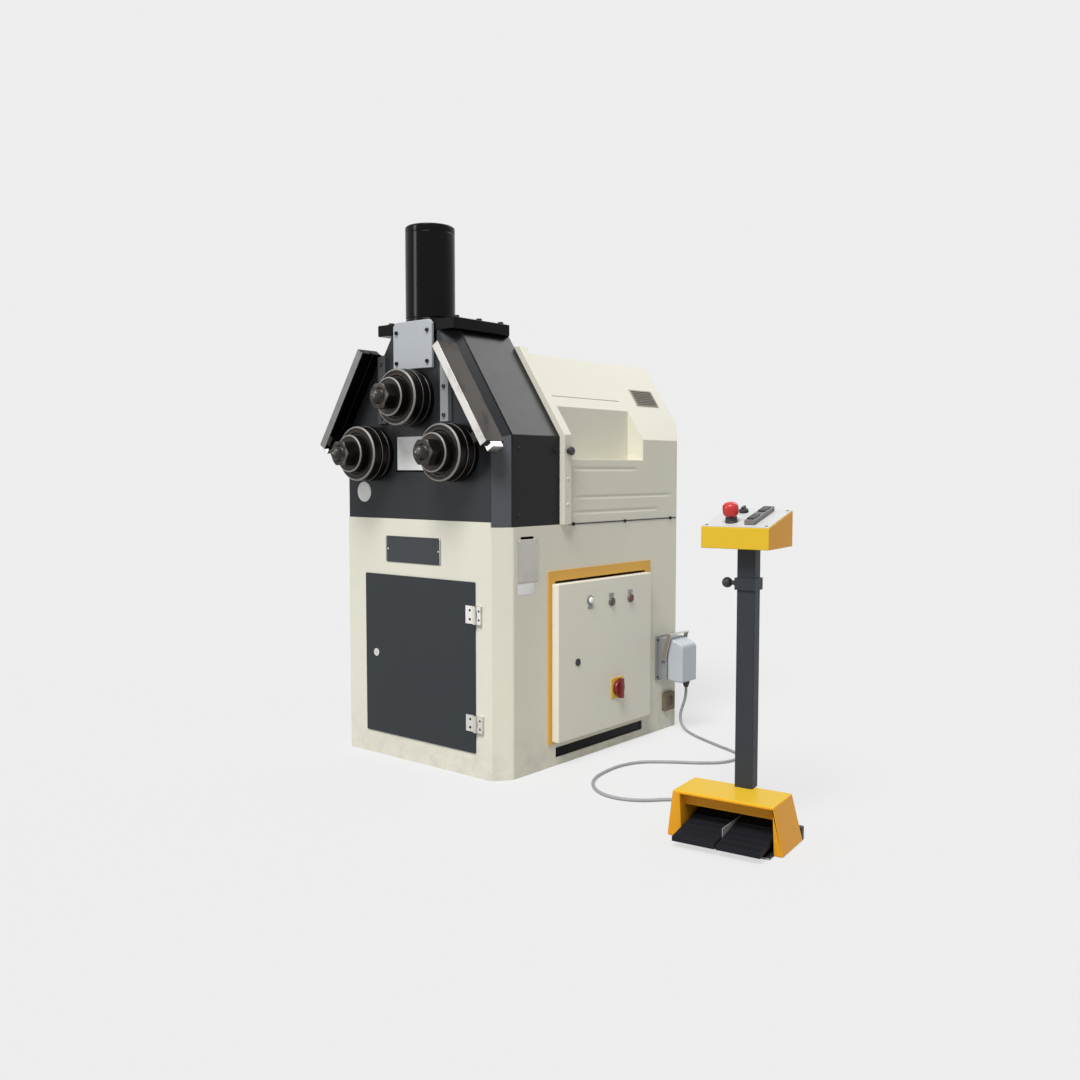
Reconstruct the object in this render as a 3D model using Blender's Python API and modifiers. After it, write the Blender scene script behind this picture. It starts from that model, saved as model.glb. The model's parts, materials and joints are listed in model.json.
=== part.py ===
# Ring roller: a three-roll section bender on a folded steel cabinet, with a
# hydraulic top roll, a geared pair of lower rolls, and a free-standing pedestal
# that carries a control console and two foot pedals on a cable.
# Metres, +Z up, front towards -Y, origin on the floor at the cabinet's centre.

import math

import bmesh
import bpy
from mathutils import Matrix, Vector

# Fits
GAP = 0.0003
RUNNING = 0.0005
OVERRUN = 0.02
ROUND_SIDES = 28
SMALL_SIDES = 20

# Cabinet
CABINET_WIDTH = 0.72
CABINET_DEPTH = 1.0
CABINET_HEIGHT = 0.757
CORNER_WIDTH = 0.042
CORNER_DEPTH = 0.055
BEND_RADIUS = 0.012
SHEET = 0.004
LIP_HEIGHT = 0.015
SIDE = CABINET_WIDTH / 2
BACK = CABINET_DEPTH / 2
FRONT = -BACK

# Front door, measured on the cabinet's front
DOOR_LEFT_MARGIN = 0.128
DOOR_RIGHT_MARGIN = 0.102
DOOR_TOP_MARGIN = 0.165
DOOR_LEFT = DOOR_LEFT_MARGIN - SIDE
DOOR_RIGHT = SIDE - DOOR_RIGHT_MARGIN
DOOR_BOTTOM = 0.074
DOOR_TOP = CABINET_HEIGHT - DOOR_TOP_MARGIN
DOOR_SHEET = 0.003
DOOR_LAP = 0.014
HINGE_PIN = 0.003
KNUCKLE = 0.0065

# Electrical box, measured on the cabinet's right side
FRAME_FRONT_MARGIN = 0.214
FRAME_REAR_MARGIN = 0.227
FRAME_TOP_MARGIN = 0.1424
FRAME_FRONT = FRONT + FRAME_FRONT_MARGIN
FRAME_REAR = BACK - FRAME_REAR_MARGIN
FRAME_BOTTOM = 0.072
FRAME_TOP = CABINET_HEIGHT - FRAME_TOP_MARGIN
FRAME_SHEET = 0.004
BOX_LAP = 0.03
BOX_DEPTH = 0.16
BOX_SHEET = 0.002
TRAY_FRONT_INSET = 0.016
TRAY_REAR_INSET = 0.032
TRAY_BOTTOM_INSET = 0.007
TRAY_TOP_INSET = 0.0396
TRAY_FRONT = FRAME_FRONT + TRAY_FRONT_INSET
TRAY_REAR = FRAME_REAR - TRAY_REAR_INSET
TRAY_BOTTOM = FRAME_BOTTOM + TRAY_BOTTOM_INSET
TRAY_TOP = FRAME_TOP - TRAY_TOP_INSET
TRAY_DEPTH = 0.0245
TRAY_SHEET = 0.002
TRAY_LIFT = 0.0012
BEZEL_RADIUS = 0.0148
BUTTON_RADIUS = 0.0105

# Head
HEAD_DEPTH = 0.2735
HEAD_PLATE = 0.0505
HEAD_TOP_SHARE = 0.42222
LOWER_RISE = 0.221
ROLL_STEP = 0.17
SHOULDER_RISE = 0.052
SLIDE_FOOT = 0.103
SLIDE_HEAD = 0.152
SLIDE_ROOM = 0.05
LOWER_HEIGHT = CABINET_HEIGHT + LOWER_RISE
TOP_HEIGHT = LOWER_HEIGHT + ROLL_STEP
SHOULDER = LOWER_HEIGHT + SHOULDER_RISE
SLIDE_BOTTOM = TOP_HEIGHT - SLIDE_FOOT
SLIDE_TOP = TOP_HEIGHT + SLIDE_HEAD
HEAD_TOP = SLIDE_TOP + SLIDE_ROOM
HEAD_TOP_HALF = SIDE * HEAD_TOP_SHARE
COVER_SHEET = 0.006
CAP_THICKNESS = 0.035
HEAD_FRONT = FRONT + SHEET + GAP
HEAD_BACK = FRONT + HEAD_DEPTH
HEAD_BOTTOM = CABINET_HEIGHT + GAP
SLOPE_ANGLE = math.atan2(SIDE - HEAD_TOP_HALF, HEAD_TOP - SHOULDER)
SLOPE_COS = math.cos(SLOPE_ANGLE)
SLOPE_SIN = math.sin(SLOPE_ANGLE)
SLOPE_REACH = SIDE * SLOPE_COS + SHOULDER * SLOPE_SIN

# Rolls and drive
ROLL_SPREAD_SHARE = 0.51389
LOWER_SPREAD = SIDE * ROLL_SPREAD_SHARE
JOURNAL = 0.035
ROLL_SEAT = 0.03
THREAD = 0.022
ROLL_RADIUS = 0.088
FLANGE_THICKNESS = 0.02
SPIGOT = 0.055
ROLL_WIDTH = 0.063
RING_WIDTH = 0.03
NUT_WIDTH = 0.038
TIP_LENGTH = 0.026
FLANGE_RADIUS = 0.085
LOWER_SPIGOT_LENGTH = 0.04
SLIDE_HALF_SHARE = 0.26389
SLIDE_HALF = SIDE * SLIDE_HALF_SHARE
SLIDE_TRAVEL = 0.12
SLOT_ROOM = 0.004
REAR_PLATE_SETBACK = 0.205
REAR_PLATE_BACK = FRONT + REAR_PLATE_SETBACK
REAR_PLATE = 0.04
GEAR_TEETH = 48
PINION_TEETH = 26
# The wheels' two pitch radii reach from the middle to a lower shaft
GEAR_MODULE = 2 * LOWER_SPREAD / (GEAR_TEETH + PINION_TEETH)
GEAR_WIDTH = 0.035
GEAR_FRONT = REAR_PLATE_BACK + 0.007
PRESSURE_ANGLE = math.radians(20)
BACKLASH = 0.0004

# Hydraulic cylinder
CYLINDER_RADIUS = 0.0775
CYLINDER_BORE = 0.062
CYLINDER_LENGTH = 0.295
CYLINDER_SETBACK = 0.073
CYLINDER_TOP = HEAD_TOP + CAP_THICKNESS + CYLINDER_LENGTH
CYLINDER_PLACE = FRONT + CYLINDER_SETBACK
ROD_RADIUS = 0.03
PISTON_HEIGHT = 0.05

# Rear hood
HOOD_STEP = 0.05
HOOD_TOP = HEAD_TOP - HOOD_STEP
HOOD_SHEET = 0.004
HOOD_RIM = 0.018
HOOD_RIM_DEPTH = 0.036
RECESS_DEPTH = 0.064
RECESS_DROP = 0.07
RECESS_MARGIN = 0.271
RECESS_SIDE = SIDE - RECESS_DEPTH
RECESS_FLOOR = SHOULDER - RECESS_DROP
RECESS_BACK = BACK - RECESS_MARGIN

# Connector and cable
CABLE_RADIUS = 0.005
SOCKET_LENGTH = 0.105
SOCKET_MARGIN = 0.07
SOCKET_REAR = BACK - SOCKET_MARGIN
SOCKET_FRONT = SOCKET_REAR - SOCKET_LENGTH
SOCKET_BOTTOM = 0.19
SOCKET_TOP = 0.335
SOCKET_DEPTH = 0.04
PLUG_REACH = 0.102
PLUG_END = SIDE + PLUG_REACH

# Pedestal, in its own frame: its origin on the floor, its front towards local -Y
PEDESTAL_PLACE = (1.116, -0.465)
PEDESTAL_TURN = math.radians(7)
HOOD_HEIGHT = 0.125
COLUMN_PLACE = (0.013, 0.04)
COLUMN_WIDTH = 0.048
COLUMN_DEPTH = 0.04
COLUMN_WALL = 0.003
CONSOLE_WIDTH = 0.177
CONSOLE_FRONT = -0.0255
CONSOLE_REAR = 0.1435
CONSOLE_BOTTOM = 0.732
CONSOLE_LOW = 0.785
CONSOLE_HIGH = 0.823
PANEL_THICKNESS = 0.002
CONSOLE_WALL = 0.003
PEDAL_PIVOT = (0.03, 0.046)
PEDAL_CENTRE = 0.009
PEDAL_WIDTH = 0.112
PEDAL_FRONT = -0.145
EAR_ROOM = 0.009
HOOD_WALL = 0.003

# Colours, roughness and metallic value of each finish
FINISHES = {
    "cream": ((0.74, 0.73, 0.64), 0.45, 0.0),
    "graphite": ((0.045, 0.048, 0.055), 0.5, 0.0),
    "grey_paint": ((0.16, 0.165, 0.17), 0.45, 0.0),
    "black_gloss": ((0.01, 0.01, 0.012), 0.2, 0.0),
    "black_plastic": ((0.02, 0.02, 0.022), 0.45, 0.0),
    "light_grey": ((0.5, 0.52, 0.54), 0.4, 0.0),
    "white_paint": ((0.78, 0.78, 0.72), 0.4, 0.0),
    "orange": ((0.78, 0.4, 0.05), 0.45, 0.0),
    "yellow": ((0.8, 0.52, 0.06), 0.4, 0.0),
    "red": ((0.6, 0.02, 0.02), 0.3, 0.0),
    "dark_red": ((0.22, 0.02, 0.02), 0.35, 0.0),
    "lens": ((0.8, 0.84, 0.8), 0.15, 0.0),
    "steel": ((0.6, 0.59, 0.57), 0.28, 1.0),
    "dark_steel": ((0.12, 0.115, 0.11), 0.4, 1.0),
    "cast_iron": ((0.08, 0.08, 0.085), 0.6, 0.3),
    "cable_grey": ((0.3, 0.31, 0.32), 0.5, 0.0),
}

# Turns a flat outline's own axes so that its normal lies along a world axis
FACING = {
    "X": Matrix(((0, 0, 1, 0), (1, 0, 0, 0), (0, 1, 0, 0), (0, 0, 0, 1))),
    "Y": Matrix(((1, 0, 0, 0), (0, 0, -1, 0), (0, 1, 0, 0), (0, 0, 0, 1))),
    "Z": Matrix.Identity(4),
}
MERGE = 0.000001


def clear_scene():
    for obj in list(bpy.data.objects):
        bpy.data.objects.remove(obj, do_unlink=True)
    for name in ("ring_roller", "cutters"):
        collection = bpy.data.collections.new(name)
        bpy.context.scene.collection.children.link(collection)
    bpy.data.collections["cutters"].hide_render = True


# Shapes: each function returns a helper object, which becomes a part or a cutter
def helper(mesh):
    mesh.shade_smooth()
    mesh.set_sharp_from_angle(angle=math.radians(35))
    obj = bpy.data.objects.new("shape", mesh)
    obj.hide_render = True
    obj.display_type = "WIRE"
    bpy.data.collections["cutters"].objects.link(obj)
    return obj


def from_bmesh(shape):
    mesh = bpy.data.meshes.new("shape")
    shape.to_mesh(mesh)
    shape.free()
    return helper(mesh)


def baked(obj, placing):
    # The evaluated mesh of obj, welded, facing out and moved by placing
    bpy.data.collections["cutters"].objects.link(obj)
    graph = bpy.context.evaluated_depsgraph_get()
    mesh = bpy.data.meshes.new_from_object(obj.evaluated_get(graph))
    bpy.data.objects.remove(obj, do_unlink=True)
    shape = bmesh.new()
    shape.from_mesh(mesh)
    bmesh.ops.remove_doubles(shape, verts=shape.verts, dist=MERGE)
    bmesh.ops.recalc_face_normals(shape, faces=shape.faces)
    shape.to_mesh(mesh)
    shape.free()
    mesh.transform(placing)
    return helper(mesh)


def box(low, high):
    low, high = Vector(low), Vector(high)
    shape = bmesh.new()
    placing = Matrix.Translation((low + high) / 2) @ Matrix.Diagonal((*(high - low), 1))
    bmesh.ops.create_cube(shape, size=1, matrix=placing)
    return from_bmesh(shape)


def cylinder(start, end, radius, tip=None, sides=SMALL_SIDES):
    start, end = Vector(start), Vector(end)
    axis = end - start
    placing = Matrix.Translation((start + end) / 2) @ axis.to_track_quat("Z", "Y").to_matrix().to_4x4()
    shape = bmesh.new()
    bmesh.ops.create_cone(
        shape,
        cap_ends=True,
        segments=sides,
        radius1=radius,
        radius2=radius if tip is None else tip,
        depth=axis.length,
        matrix=placing,
    )
    return from_bmesh(shape)


def prism(outline, axis, start, end, holes=()):
    curve = bpy.data.curves.new("outline", "CURVE")
    curve.dimensions = "2D"
    curve.fill_mode = "BOTH"
    curve.extrude = abs(end - start) / 2
    for points in (outline, *holes):
        spline = curve.splines.new("POLY")
        spline.points.add(len(points) - 1)
        for point, (x, y) in zip(spline.points, points):
            point.co = (x, y, 0, 1)
        spline.use_cyclic_u = True
    offset = [0, 0, 0]
    offset["XYZ".index(axis)] = (start + end) / 2
    obj = bpy.data.objects.new("outline", curve)
    return baked(obj, Matrix.Translation(offset) @ FACING[axis])


def turned(profile, start, direction, sides=ROUND_SIDES, ring=False):
    # profile holds (radius, distance along direction), from the far end back to start
    mesh = bpy.data.meshes.new("profile")
    count = len(profile)
    edges = [(i, i + 1) for i in range(count - 1)]
    if ring:
        edges.append((count - 1, 0))
    mesh.from_pydata([(radius, 0, along) for radius, along in profile], edges, [])
    obj = bpy.data.objects.new("profile", mesh)
    screw = obj.modifiers.new("turn", "SCREW")
    screw.steps = sides
    screw.render_steps = sides
    screw.use_merge_vertices = True
    screw.merge_threshold = MERGE
    turn = Vector(direction).to_track_quat("Z", "Y").to_matrix().to_4x4()
    return baked(obj, Matrix.Translation(start) @ turn)


def circle(centre, radius, sides=SMALL_SIDES):
    steps = [2 * math.pi * i / sides for i in range(sides)]
    return [(centre[0] + radius * math.cos(a), centre[1] + radius * math.sin(a)) for a in steps]


def rectangle(left, right, bottom, top):
    return [(left, bottom), (right, bottom), (right, top), (left, top)]


def rounded(outline, radius, steps=3):
    # The outline with each corner replaced by an arc
    points = []
    corners = [Vector(point) for point in outline]
    for before, corner, after in zip(corners[-1:] + corners[:-1], corners, corners[1:] + corners[:1]):
        into = (before - corner).normalized()
        out = (after - corner).normalized()
        half = into.angle(out) / 2
        reach = radius / math.tan(half)
        centre = corner + (into + out).normalized() * radius / math.sin(half)
        first = corner + into * reach - centre
        turn = first.angle_signed(corner + out * reach - centre)
        for step in range(steps + 1):
            angle = -turn * step / steps
            points.append(tuple(centre + Matrix.Rotation(angle, 2) @ first))
    return points


def combine(target, other, operation):
    modifier = target.modifiers.new(operation.lower(), "BOOLEAN")
    modifier.operation = operation
    modifier.solver = "EXACT"
    modifier.object = other


def cut(target, *cutters):
    for cutter in cutters:
        combine(target, cutter, "DIFFERENCE")


def join(target, *others):
    for other in others:
        combine(target, other, "UNION")


def attach(obj, parent):
    # Puts an object, and the shapes that cut or join it, in the parent's frame
    obj.parent = parent
    for modifier in obj.modifiers:
        if modifier.type == "BOOLEAN":
            attach(modifier.object, parent)


def part(obj, name, finish, origin=(0, 0, 0), parent=None):
    colour, roughness, metallic = FINISHES[finish]
    paint = bpy.data.materials.new(name)
    paint.use_nodes = True
    shader = paint.node_tree.nodes["Principled BSDF"]
    shader.inputs["Base Color"].default_value = (*colour, 1)
    shader.inputs["Roughness"].default_value = roughness
    shader.inputs["Metallic"].default_value = metallic
    paint.diffuse_color = (*colour, 1)
    obj.data.materials.append(paint)
    obj.data.transform(Matrix.Translation(-Vector(origin)))
    obj.location = origin
    obj.name = name
    obj.data.name = name
    obj.hide_render = False
    obj.display_type = "TEXTURED"
    bpy.data.collections["cutters"].objects.unlink(obj)
    bpy.data.collections["ring_roller"].objects.link(obj)
    if parent:
        attach(obj, parent)
    return obj


# Outlines that several pieces share
def plan(inset=0.0):
    side = SIDE - inset
    end = BACK - inset
    quarter = [(side, -end + CORNER_DEPTH), (side, end - CORNER_DEPTH), (side - CORNER_WIDTH, end)]
    corners = quarter + [(-side + CORNER_WIDTH, end), (-side, end - CORNER_DEPTH)]
    corners += [(-side, -end + CORNER_DEPTH), (-side + CORNER_WIDTH, -end), (side - CORNER_WIDTH, -end)]
    return rounded(corners, BEND_RADIUS, steps=2)


def gable(inset, bottom, top):
    # The head's outline from the front, with its sides and slopes set in by inset
    side = SIDE - inset
    reach = SLOPE_REACH - inset
    shoulder = (reach - side * SLOPE_COS) / SLOPE_SIN
    ridge = (reach - top * SLOPE_SIN) / SLOPE_COS
    right = [(side, bottom), (side, shoulder), (ridge, top)]
    return right + [(-x, z) for x, z in reversed(right)]


# Cabinet
def base_cabinet():
    shell = prism(plan(), "Z", 0, CABINET_HEIGHT)
    cut(shell, prism(plan(SHEET), "Z", SHEET, CABINET_HEIGHT - SHEET))
    lip_half = SIDE - CORNER_WIDTH
    lip_top = CABINET_HEIGHT + LIP_HEIGHT
    join(shell, box((-lip_half, FRONT, CABINET_HEIGHT - SHEET), (lip_half, FRONT + SHEET, lip_top)))
    door_low = (DOOR_LEFT + DOOR_LAP, FRONT - OVERRUN, DOOR_BOTTOM + DOOR_LAP)
    door_high = (DOOR_RIGHT - DOOR_LAP, FRONT + OVERRUN, DOOR_TOP - DOOR_LAP)
    slot_inset = 0.088
    slot_length = 0.061
    slot_drop = 0.038
    slot_front = FRONT + slot_inset
    slot_rear = slot_front + slot_length
    slot_bottom = CABINET_HEIGHT - slot_drop
    slot_height = 0.008
    floor_slot_front = FRAME_FRONT + 2 * OVERRUN
    floor_slot_rear = FRAME_REAR - 2 * OVERRUN
    floor_slot_bottom = 0.025
    floor_slot_height = 0.032
    inner = SIDE - OVERRUN
    outer = SIDE + OVERRUN
    box_low = (inner, FRAME_FRONT + BOX_LAP - GAP, FRAME_BOTTOM + BOX_LAP - GAP)
    box_high = (outer, FRAME_REAR - BOX_LAP + GAP, FRAME_TOP - BOX_LAP + GAP)
    cut(
        shell,
        box(door_low, door_high),
        box(box_low, box_high),
        box((inner, slot_front, slot_bottom), (outer, slot_rear, slot_bottom + slot_height)),
        box((inner, floor_slot_front, floor_slot_bottom), (outer, floor_slot_rear, floor_slot_bottom + floor_slot_height)),
    )
    blind_width = 0.066
    blind_inset = 0.005
    blind_rear = SOCKET_REAR - blind_inset
    blind_front = blind_rear - blind_width
    blind_bottom = 0.066
    blind_top = blind_bottom + blind_width
    blind_depth = 0.012
    outline = rounded(rectangle(blind_front, blind_rear, blind_bottom, blind_top), blind_depth / 2)
    middle = ((blind_front + blind_rear) / 2, (blind_bottom + blind_top) / 2)
    join(shell, prism(outline, "X", SIDE - SHEET / 2, SIDE + blind_depth))
    bore = 0.02
    cut(shell, cylinder((SIDE + blind_depth / 2, *middle), (SIDE + OVERRUN, *middle), bore))
    part(shell, "base_cabinet", "cream")


def door_plates():
    plate_inset_left = 0.097
    plate_inset_right = 0.145
    plate_lift = 0.042
    plate_drop = 0.04
    plate_left = DOOR_LEFT + plate_inset_left
    plate_right = DOOR_RIGHT - plate_inset_right
    plate_bottom = DOOR_TOP + plate_lift
    plate_top = CABINET_HEIGHT - plate_drop
    plate_sheet = 0.002
    plate_corner = 0.006
    rim = 0.005
    face = FRONT - GAP
    outline = rounded(rectangle(plate_left, plate_right, plate_bottom, plate_top), plate_corner)
    plate = prism(outline, "Y", face - plate_sheet, face)
    inner = rectangle(plate_left + rim, plate_right - rim, plate_bottom + rim, plate_top - rim)
    cut(plate, prism(inner, "Y", face - OVERRUN, face - plate_sheet / 2))
    part(plate, "name_plate", "grey_paint")

    data_inset = 0.075
    data_width = 0.092
    data_height = 0.127
    data_drop = 0.039
    data_front = FRONT + data_inset
    data_rear = data_front + data_width
    data_top = CABINET_HEIGHT - data_drop
    data_bottom = data_top - data_height
    data_sheet = 0.0015
    data_corner = 0.004
    outline = rounded(rectangle(data_front, data_rear, data_bottom, data_top), data_corner)
    part(prism(outline, "X", SIDE + GAP, SIDE + GAP + data_sheet), "data_plate", "light_grey")


DOOR_LOCK_INSET = 0.052
DOOR_LOCK_LIFT = 0.002
DOOR_LOCK_PLACE = (DOOR_LEFT + DOOR_LOCK_INSET, (DOOR_BOTTOM + DOOR_TOP) / 2 + DOOR_LOCK_LIFT)
DOOR_LOCK_BARREL = 0.008
DOOR_FOLD = 0.015
UPPER_HINGE_DROP = 0.071
UPPER_HINGE_LENGTH = 0.054
UPPER_HINGE_REACH = 0.0225
LOWER_HINGE_LIFT = 0.066
LOWER_HINGE_LENGTH = 0.05
LOWER_HINGE_REACH = 0.0285
# Lower and upper end of each hinge, and how far its fixed leaf reaches from the axis
HINGES = (
    (DOOR_TOP - UPPER_HINGE_DROP - UPPER_HINGE_LENGTH, DOOR_TOP - UPPER_HINGE_DROP, UPPER_HINGE_REACH),
    (DOOR_BOTTOM + LOWER_HINGE_LIFT, DOOR_BOTTOM + LOWER_HINGE_LIFT + LOWER_HINGE_LENGTH, LOWER_HINGE_REACH),
)
HINGE_LEAF = 0.0025
HINGE_SPACING = 0.0015


def hinge_axis():
    leaf_front = FRONT - GAP - DOOR_SHEET - HINGE_LEAF
    return DOOR_RIGHT + KNUCKLE - 0.7 * HINGE_PIN, leaf_front - HINGE_PIN


def front_door():
    face = FRONT - GAP
    corner = 0.004
    outline = rounded(rectangle(DOOR_LEFT, DOOR_RIGHT, DOOR_BOTTOM, DOOR_TOP), corner, steps=2)
    door = prism(outline, "Y", face - DOOR_SHEET, face)
    fold_inset = DOOR_LAP + 0.8 * DOOR_LAP
    outer = rectangle(
        DOOR_LEFT + fold_inset, DOOR_RIGHT - fold_inset, DOOR_BOTTOM + fold_inset, DOOR_TOP - fold_inset
    )
    inner_inset = fold_inset + DOOR_SHEET
    inner = rectangle(
        DOOR_LEFT + inner_inset, DOOR_RIGHT - inner_inset, DOOR_BOTTOM + inner_inset, DOOR_TOP - inner_inset
    )
    join(door, prism(outer, "Y", face - DOOR_SHEET / 2, face + DOOR_FOLD, holes=(inner,)))
    lock_x, lock_z = DOOR_LOCK_PLACE
    hole = (lock_x, face - OVERRUN, lock_z), (lock_x, face + OVERRUN, lock_z)
    cut(door, cylinder(*hole, DOOR_LOCK_BARREL + 2 * GAP))
    axis_x, axis_y = hinge_axis()
    for bottom, top, _ in HINGES:
        join_door_leaf(door, bottom, top)
    part(door, "front_door", "graphite", origin=(axis_x, axis_y, (DOOR_BOTTOM + DOOR_TOP) / 2))


def front_door_lock():
    flange = 0.0125
    flange_thickness = 0.0025
    cam_lift = 0.002
    cam_thickness = 0.003
    cam_length = 0.05
    cam_half = 0.008
    x, z = DOOR_LOCK_PLACE
    outside = FRONT - GAP - DOOR_SHEET - GAP
    cam_start = FRONT - GAP + DOOR_FOLD + cam_lift
    behind = outside - cam_start - cam_thickness
    profile = [(0, flange_thickness), (flange, flange_thickness), (flange, 0)]
    profile += [(DOOR_LOCK_BARREL, 0), (DOOR_LOCK_BARREL, behind), (0, behind)]
    lock = turned(profile, (x, outside, z), (0, -1, 0), sides=SMALL_SIDES)
    cam_low = (x - cam_half, cam_start, z - cam_half)
    join(lock, box(cam_low, (x + cam_half, cam_start + cam_thickness, z + cam_length)))
    cut(lock, key_slot("Y", (x, z), outside - OVERRUN, outside - flange_thickness / 2))
    part(lock, "front_door_lock", "steel", origin=(x, outside, z))


def join_door_leaf(door, bottom, top):
    axis_x, axis_y = hinge_axis()
    door_leaf = 0.035
    third = (top - bottom) / 3
    face = FRONT - GAP - DOOR_SHEET / 2
    front = FRONT - GAP - DOOR_SHEET - HINGE_LEAF
    leaf_edge = axis_x - KNUCKLE - HINGE_SPACING
    join(door, box((axis_x - KNUCKLE - door_leaf, front, bottom), (leaf_edge, face, top)))
    low = bottom + third + GAP
    high = top - third - GAP
    back = front + HINGE_LEAF
    join(door, box((leaf_edge - HINGE_SPACING, front, low), (axis_x, back, high)))
    join(door, cylinder((axis_x, axis_y, low), (axis_x, axis_y, high), KNUCKLE))
    cut(door, cylinder((axis_x, axis_y, bottom), (axis_x, axis_y, top), HINGE_PIN + RUNNING))


def front_hinges():
    axis_x, axis_y = hinge_axis()
    for name, (bottom, top, reach) in zip(("upper", "lower"), HINGES):
        third = (top - bottom) / 3
        low_joint = bottom + third
        high_joint = top - third
        back = FRONT - GAP
        plate_near = axis_x + KNUCKLE + HINGE_SPACING
        fixed = box((plate_near, axis_y, bottom), (axis_x + reach, back, top))
        for start, end in ((bottom, low_joint), (high_joint, top)):
            join(fixed, cylinder((axis_x, axis_y, start), (axis_x, axis_y, end), KNUCKLE))
            join(fixed, box((axis_x, axis_y, start), (plate_near + HINGE_SPACING, back - 2 * HINGE_LEAF, end)))
        pin_reach = GAP * 2
        join(fixed, cylinder((axis_x, axis_y, bottom + pin_reach), (axis_x, axis_y, top - pin_reach), HINGE_PIN))
        part(fixed, f"hinge_{name}", "steel")


# Electrical box in the cabinet's right side
TRAY_INNER = SIDE + GAP + FRAME_SHEET + TRAY_LIFT
TRAY_FACE = TRAY_INNER + TRAY_DEPTH
BARREL = 0.0045
TRAY_AXIS = (TRAY_INNER + TRAY_DEPTH / 2, TRAY_REAR + BARREL + GAP)
TRAY_KNUCKLE = 0.016
TRAY_HINGES = (TRAY_BOTTOM + 2 * TRAY_KNUCKLE, TRAY_TOP - 5 * TRAY_KNUCKLE)


def electrical_box():
    near = SIDE + GAP
    walls_front = FRAME_FRONT + BOX_LAP
    walls_rear = FRAME_REAR - BOX_LAP
    walls_bottom = FRAME_BOTTOM + BOX_LAP
    walls_top = FRAME_TOP - BOX_LAP
    corner = 0.004
    outline = rounded(rectangle(FRAME_FRONT, FRAME_REAR, FRAME_BOTTOM, FRAME_TOP), corner, steps=2)
    frame = prism(outline, "X", near, near + FRAME_SHEET)
    join(frame, box((SIDE - BOX_DEPTH, walls_front, walls_bottom), (near + FRAME_SHEET / 2, walls_rear, walls_top)))
    inner_low = (SIDE - BOX_DEPTH + BOX_SHEET, walls_front + BOX_SHEET, walls_bottom + BOX_SHEET)
    cut(frame, box(inner_low, (SIDE + OVERRUN, walls_rear - BOX_SHEET, walls_top - BOX_SHEET)))
    axis_x, axis_y = TRAY_AXIS
    pin = BARREL / 2
    for height in TRAY_HINGES:
        for start in (height, height + 2 * TRAY_KNUCKLE):
            end = start + TRAY_KNUCKLE
            join(frame, cylinder((axis_x, axis_y, start), (axis_x, axis_y, end), BARREL, sides=12))
            join(frame, box((near + FRAME_SHEET / 2, axis_y, start), (axis_x, axis_y + BARREL / 2, end)))
        low = height + TRAY_KNUCKLE / 2
        high = low + 2 * TRAY_KNUCKLE
        join(frame, cylinder((axis_x, axis_y, low), (axis_x, axis_y, high), pin, sides=12))
    part(frame, "electrical_box", "orange")


# What sits in the tray door: centre of each fitting as (y, z), from its shares of the
# tray's width and of its height
FITTING_SHARES = {
    "lamp": (0.315, 0.873),
    "left": (0.54012, 0.84274),
    "right": (0.74951, 0.84677),
    "switch": (0.60665, 0.25806),
    "lock": (0.18982, 0.4879),
}


def on_tray(name):
    across, up = FITTING_SHARES[name]
    return TRAY_FRONT + across * (TRAY_REAR - TRAY_FRONT), TRAY_BOTTOM + up * (TRAY_TOP - TRAY_BOTTOM)


LAMP_PLACE = on_tray("lamp")
BUTTON_PLACES = {"left": on_tray("left"), "right": on_tray("right")}
SWITCH_PLACE = on_tray("switch")
TRAY_LOCK_PLACE = on_tray("lock")
TRAY_BARREL = 0.008
BEZEL_DEPTH = 0.007
BEZEL_FLOOR = 0.0007
BUTTON_STEM = 0.004
SWITCH_PLATE = 0.003


def through_tray(place, radius):
    return cylinder((TRAY_FACE - OVERRUN / 2, *place), (TRAY_FACE + OVERRUN, *place), radius)


def fit_door_hinge(tray):
    axis_x, axis_y = TRAY_AXIS
    for height in TRAY_HINGES:
        start = height + TRAY_KNUCKLE + GAP
        end = height + 2 * TRAY_KNUCKLE - GAP
        join(tray, cylinder((axis_x, axis_y, start), (axis_x, axis_y, end), BARREL, sides=12))
        leaf_low = (axis_x - TRAY_SHEET / 2, TRAY_REAR - TRAY_SHEET / 2, start)
        join(tray, box(leaf_low, (axis_x + TRAY_SHEET / 2, axis_y, end)))
        bore_ends = (axis_x, axis_y, height), (axis_x, axis_y, height + 3 * TRAY_KNUCKLE)
        cut(tray, cylinder(*bore_ends, BARREL / 2 + RUNNING, sides=12))


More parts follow.
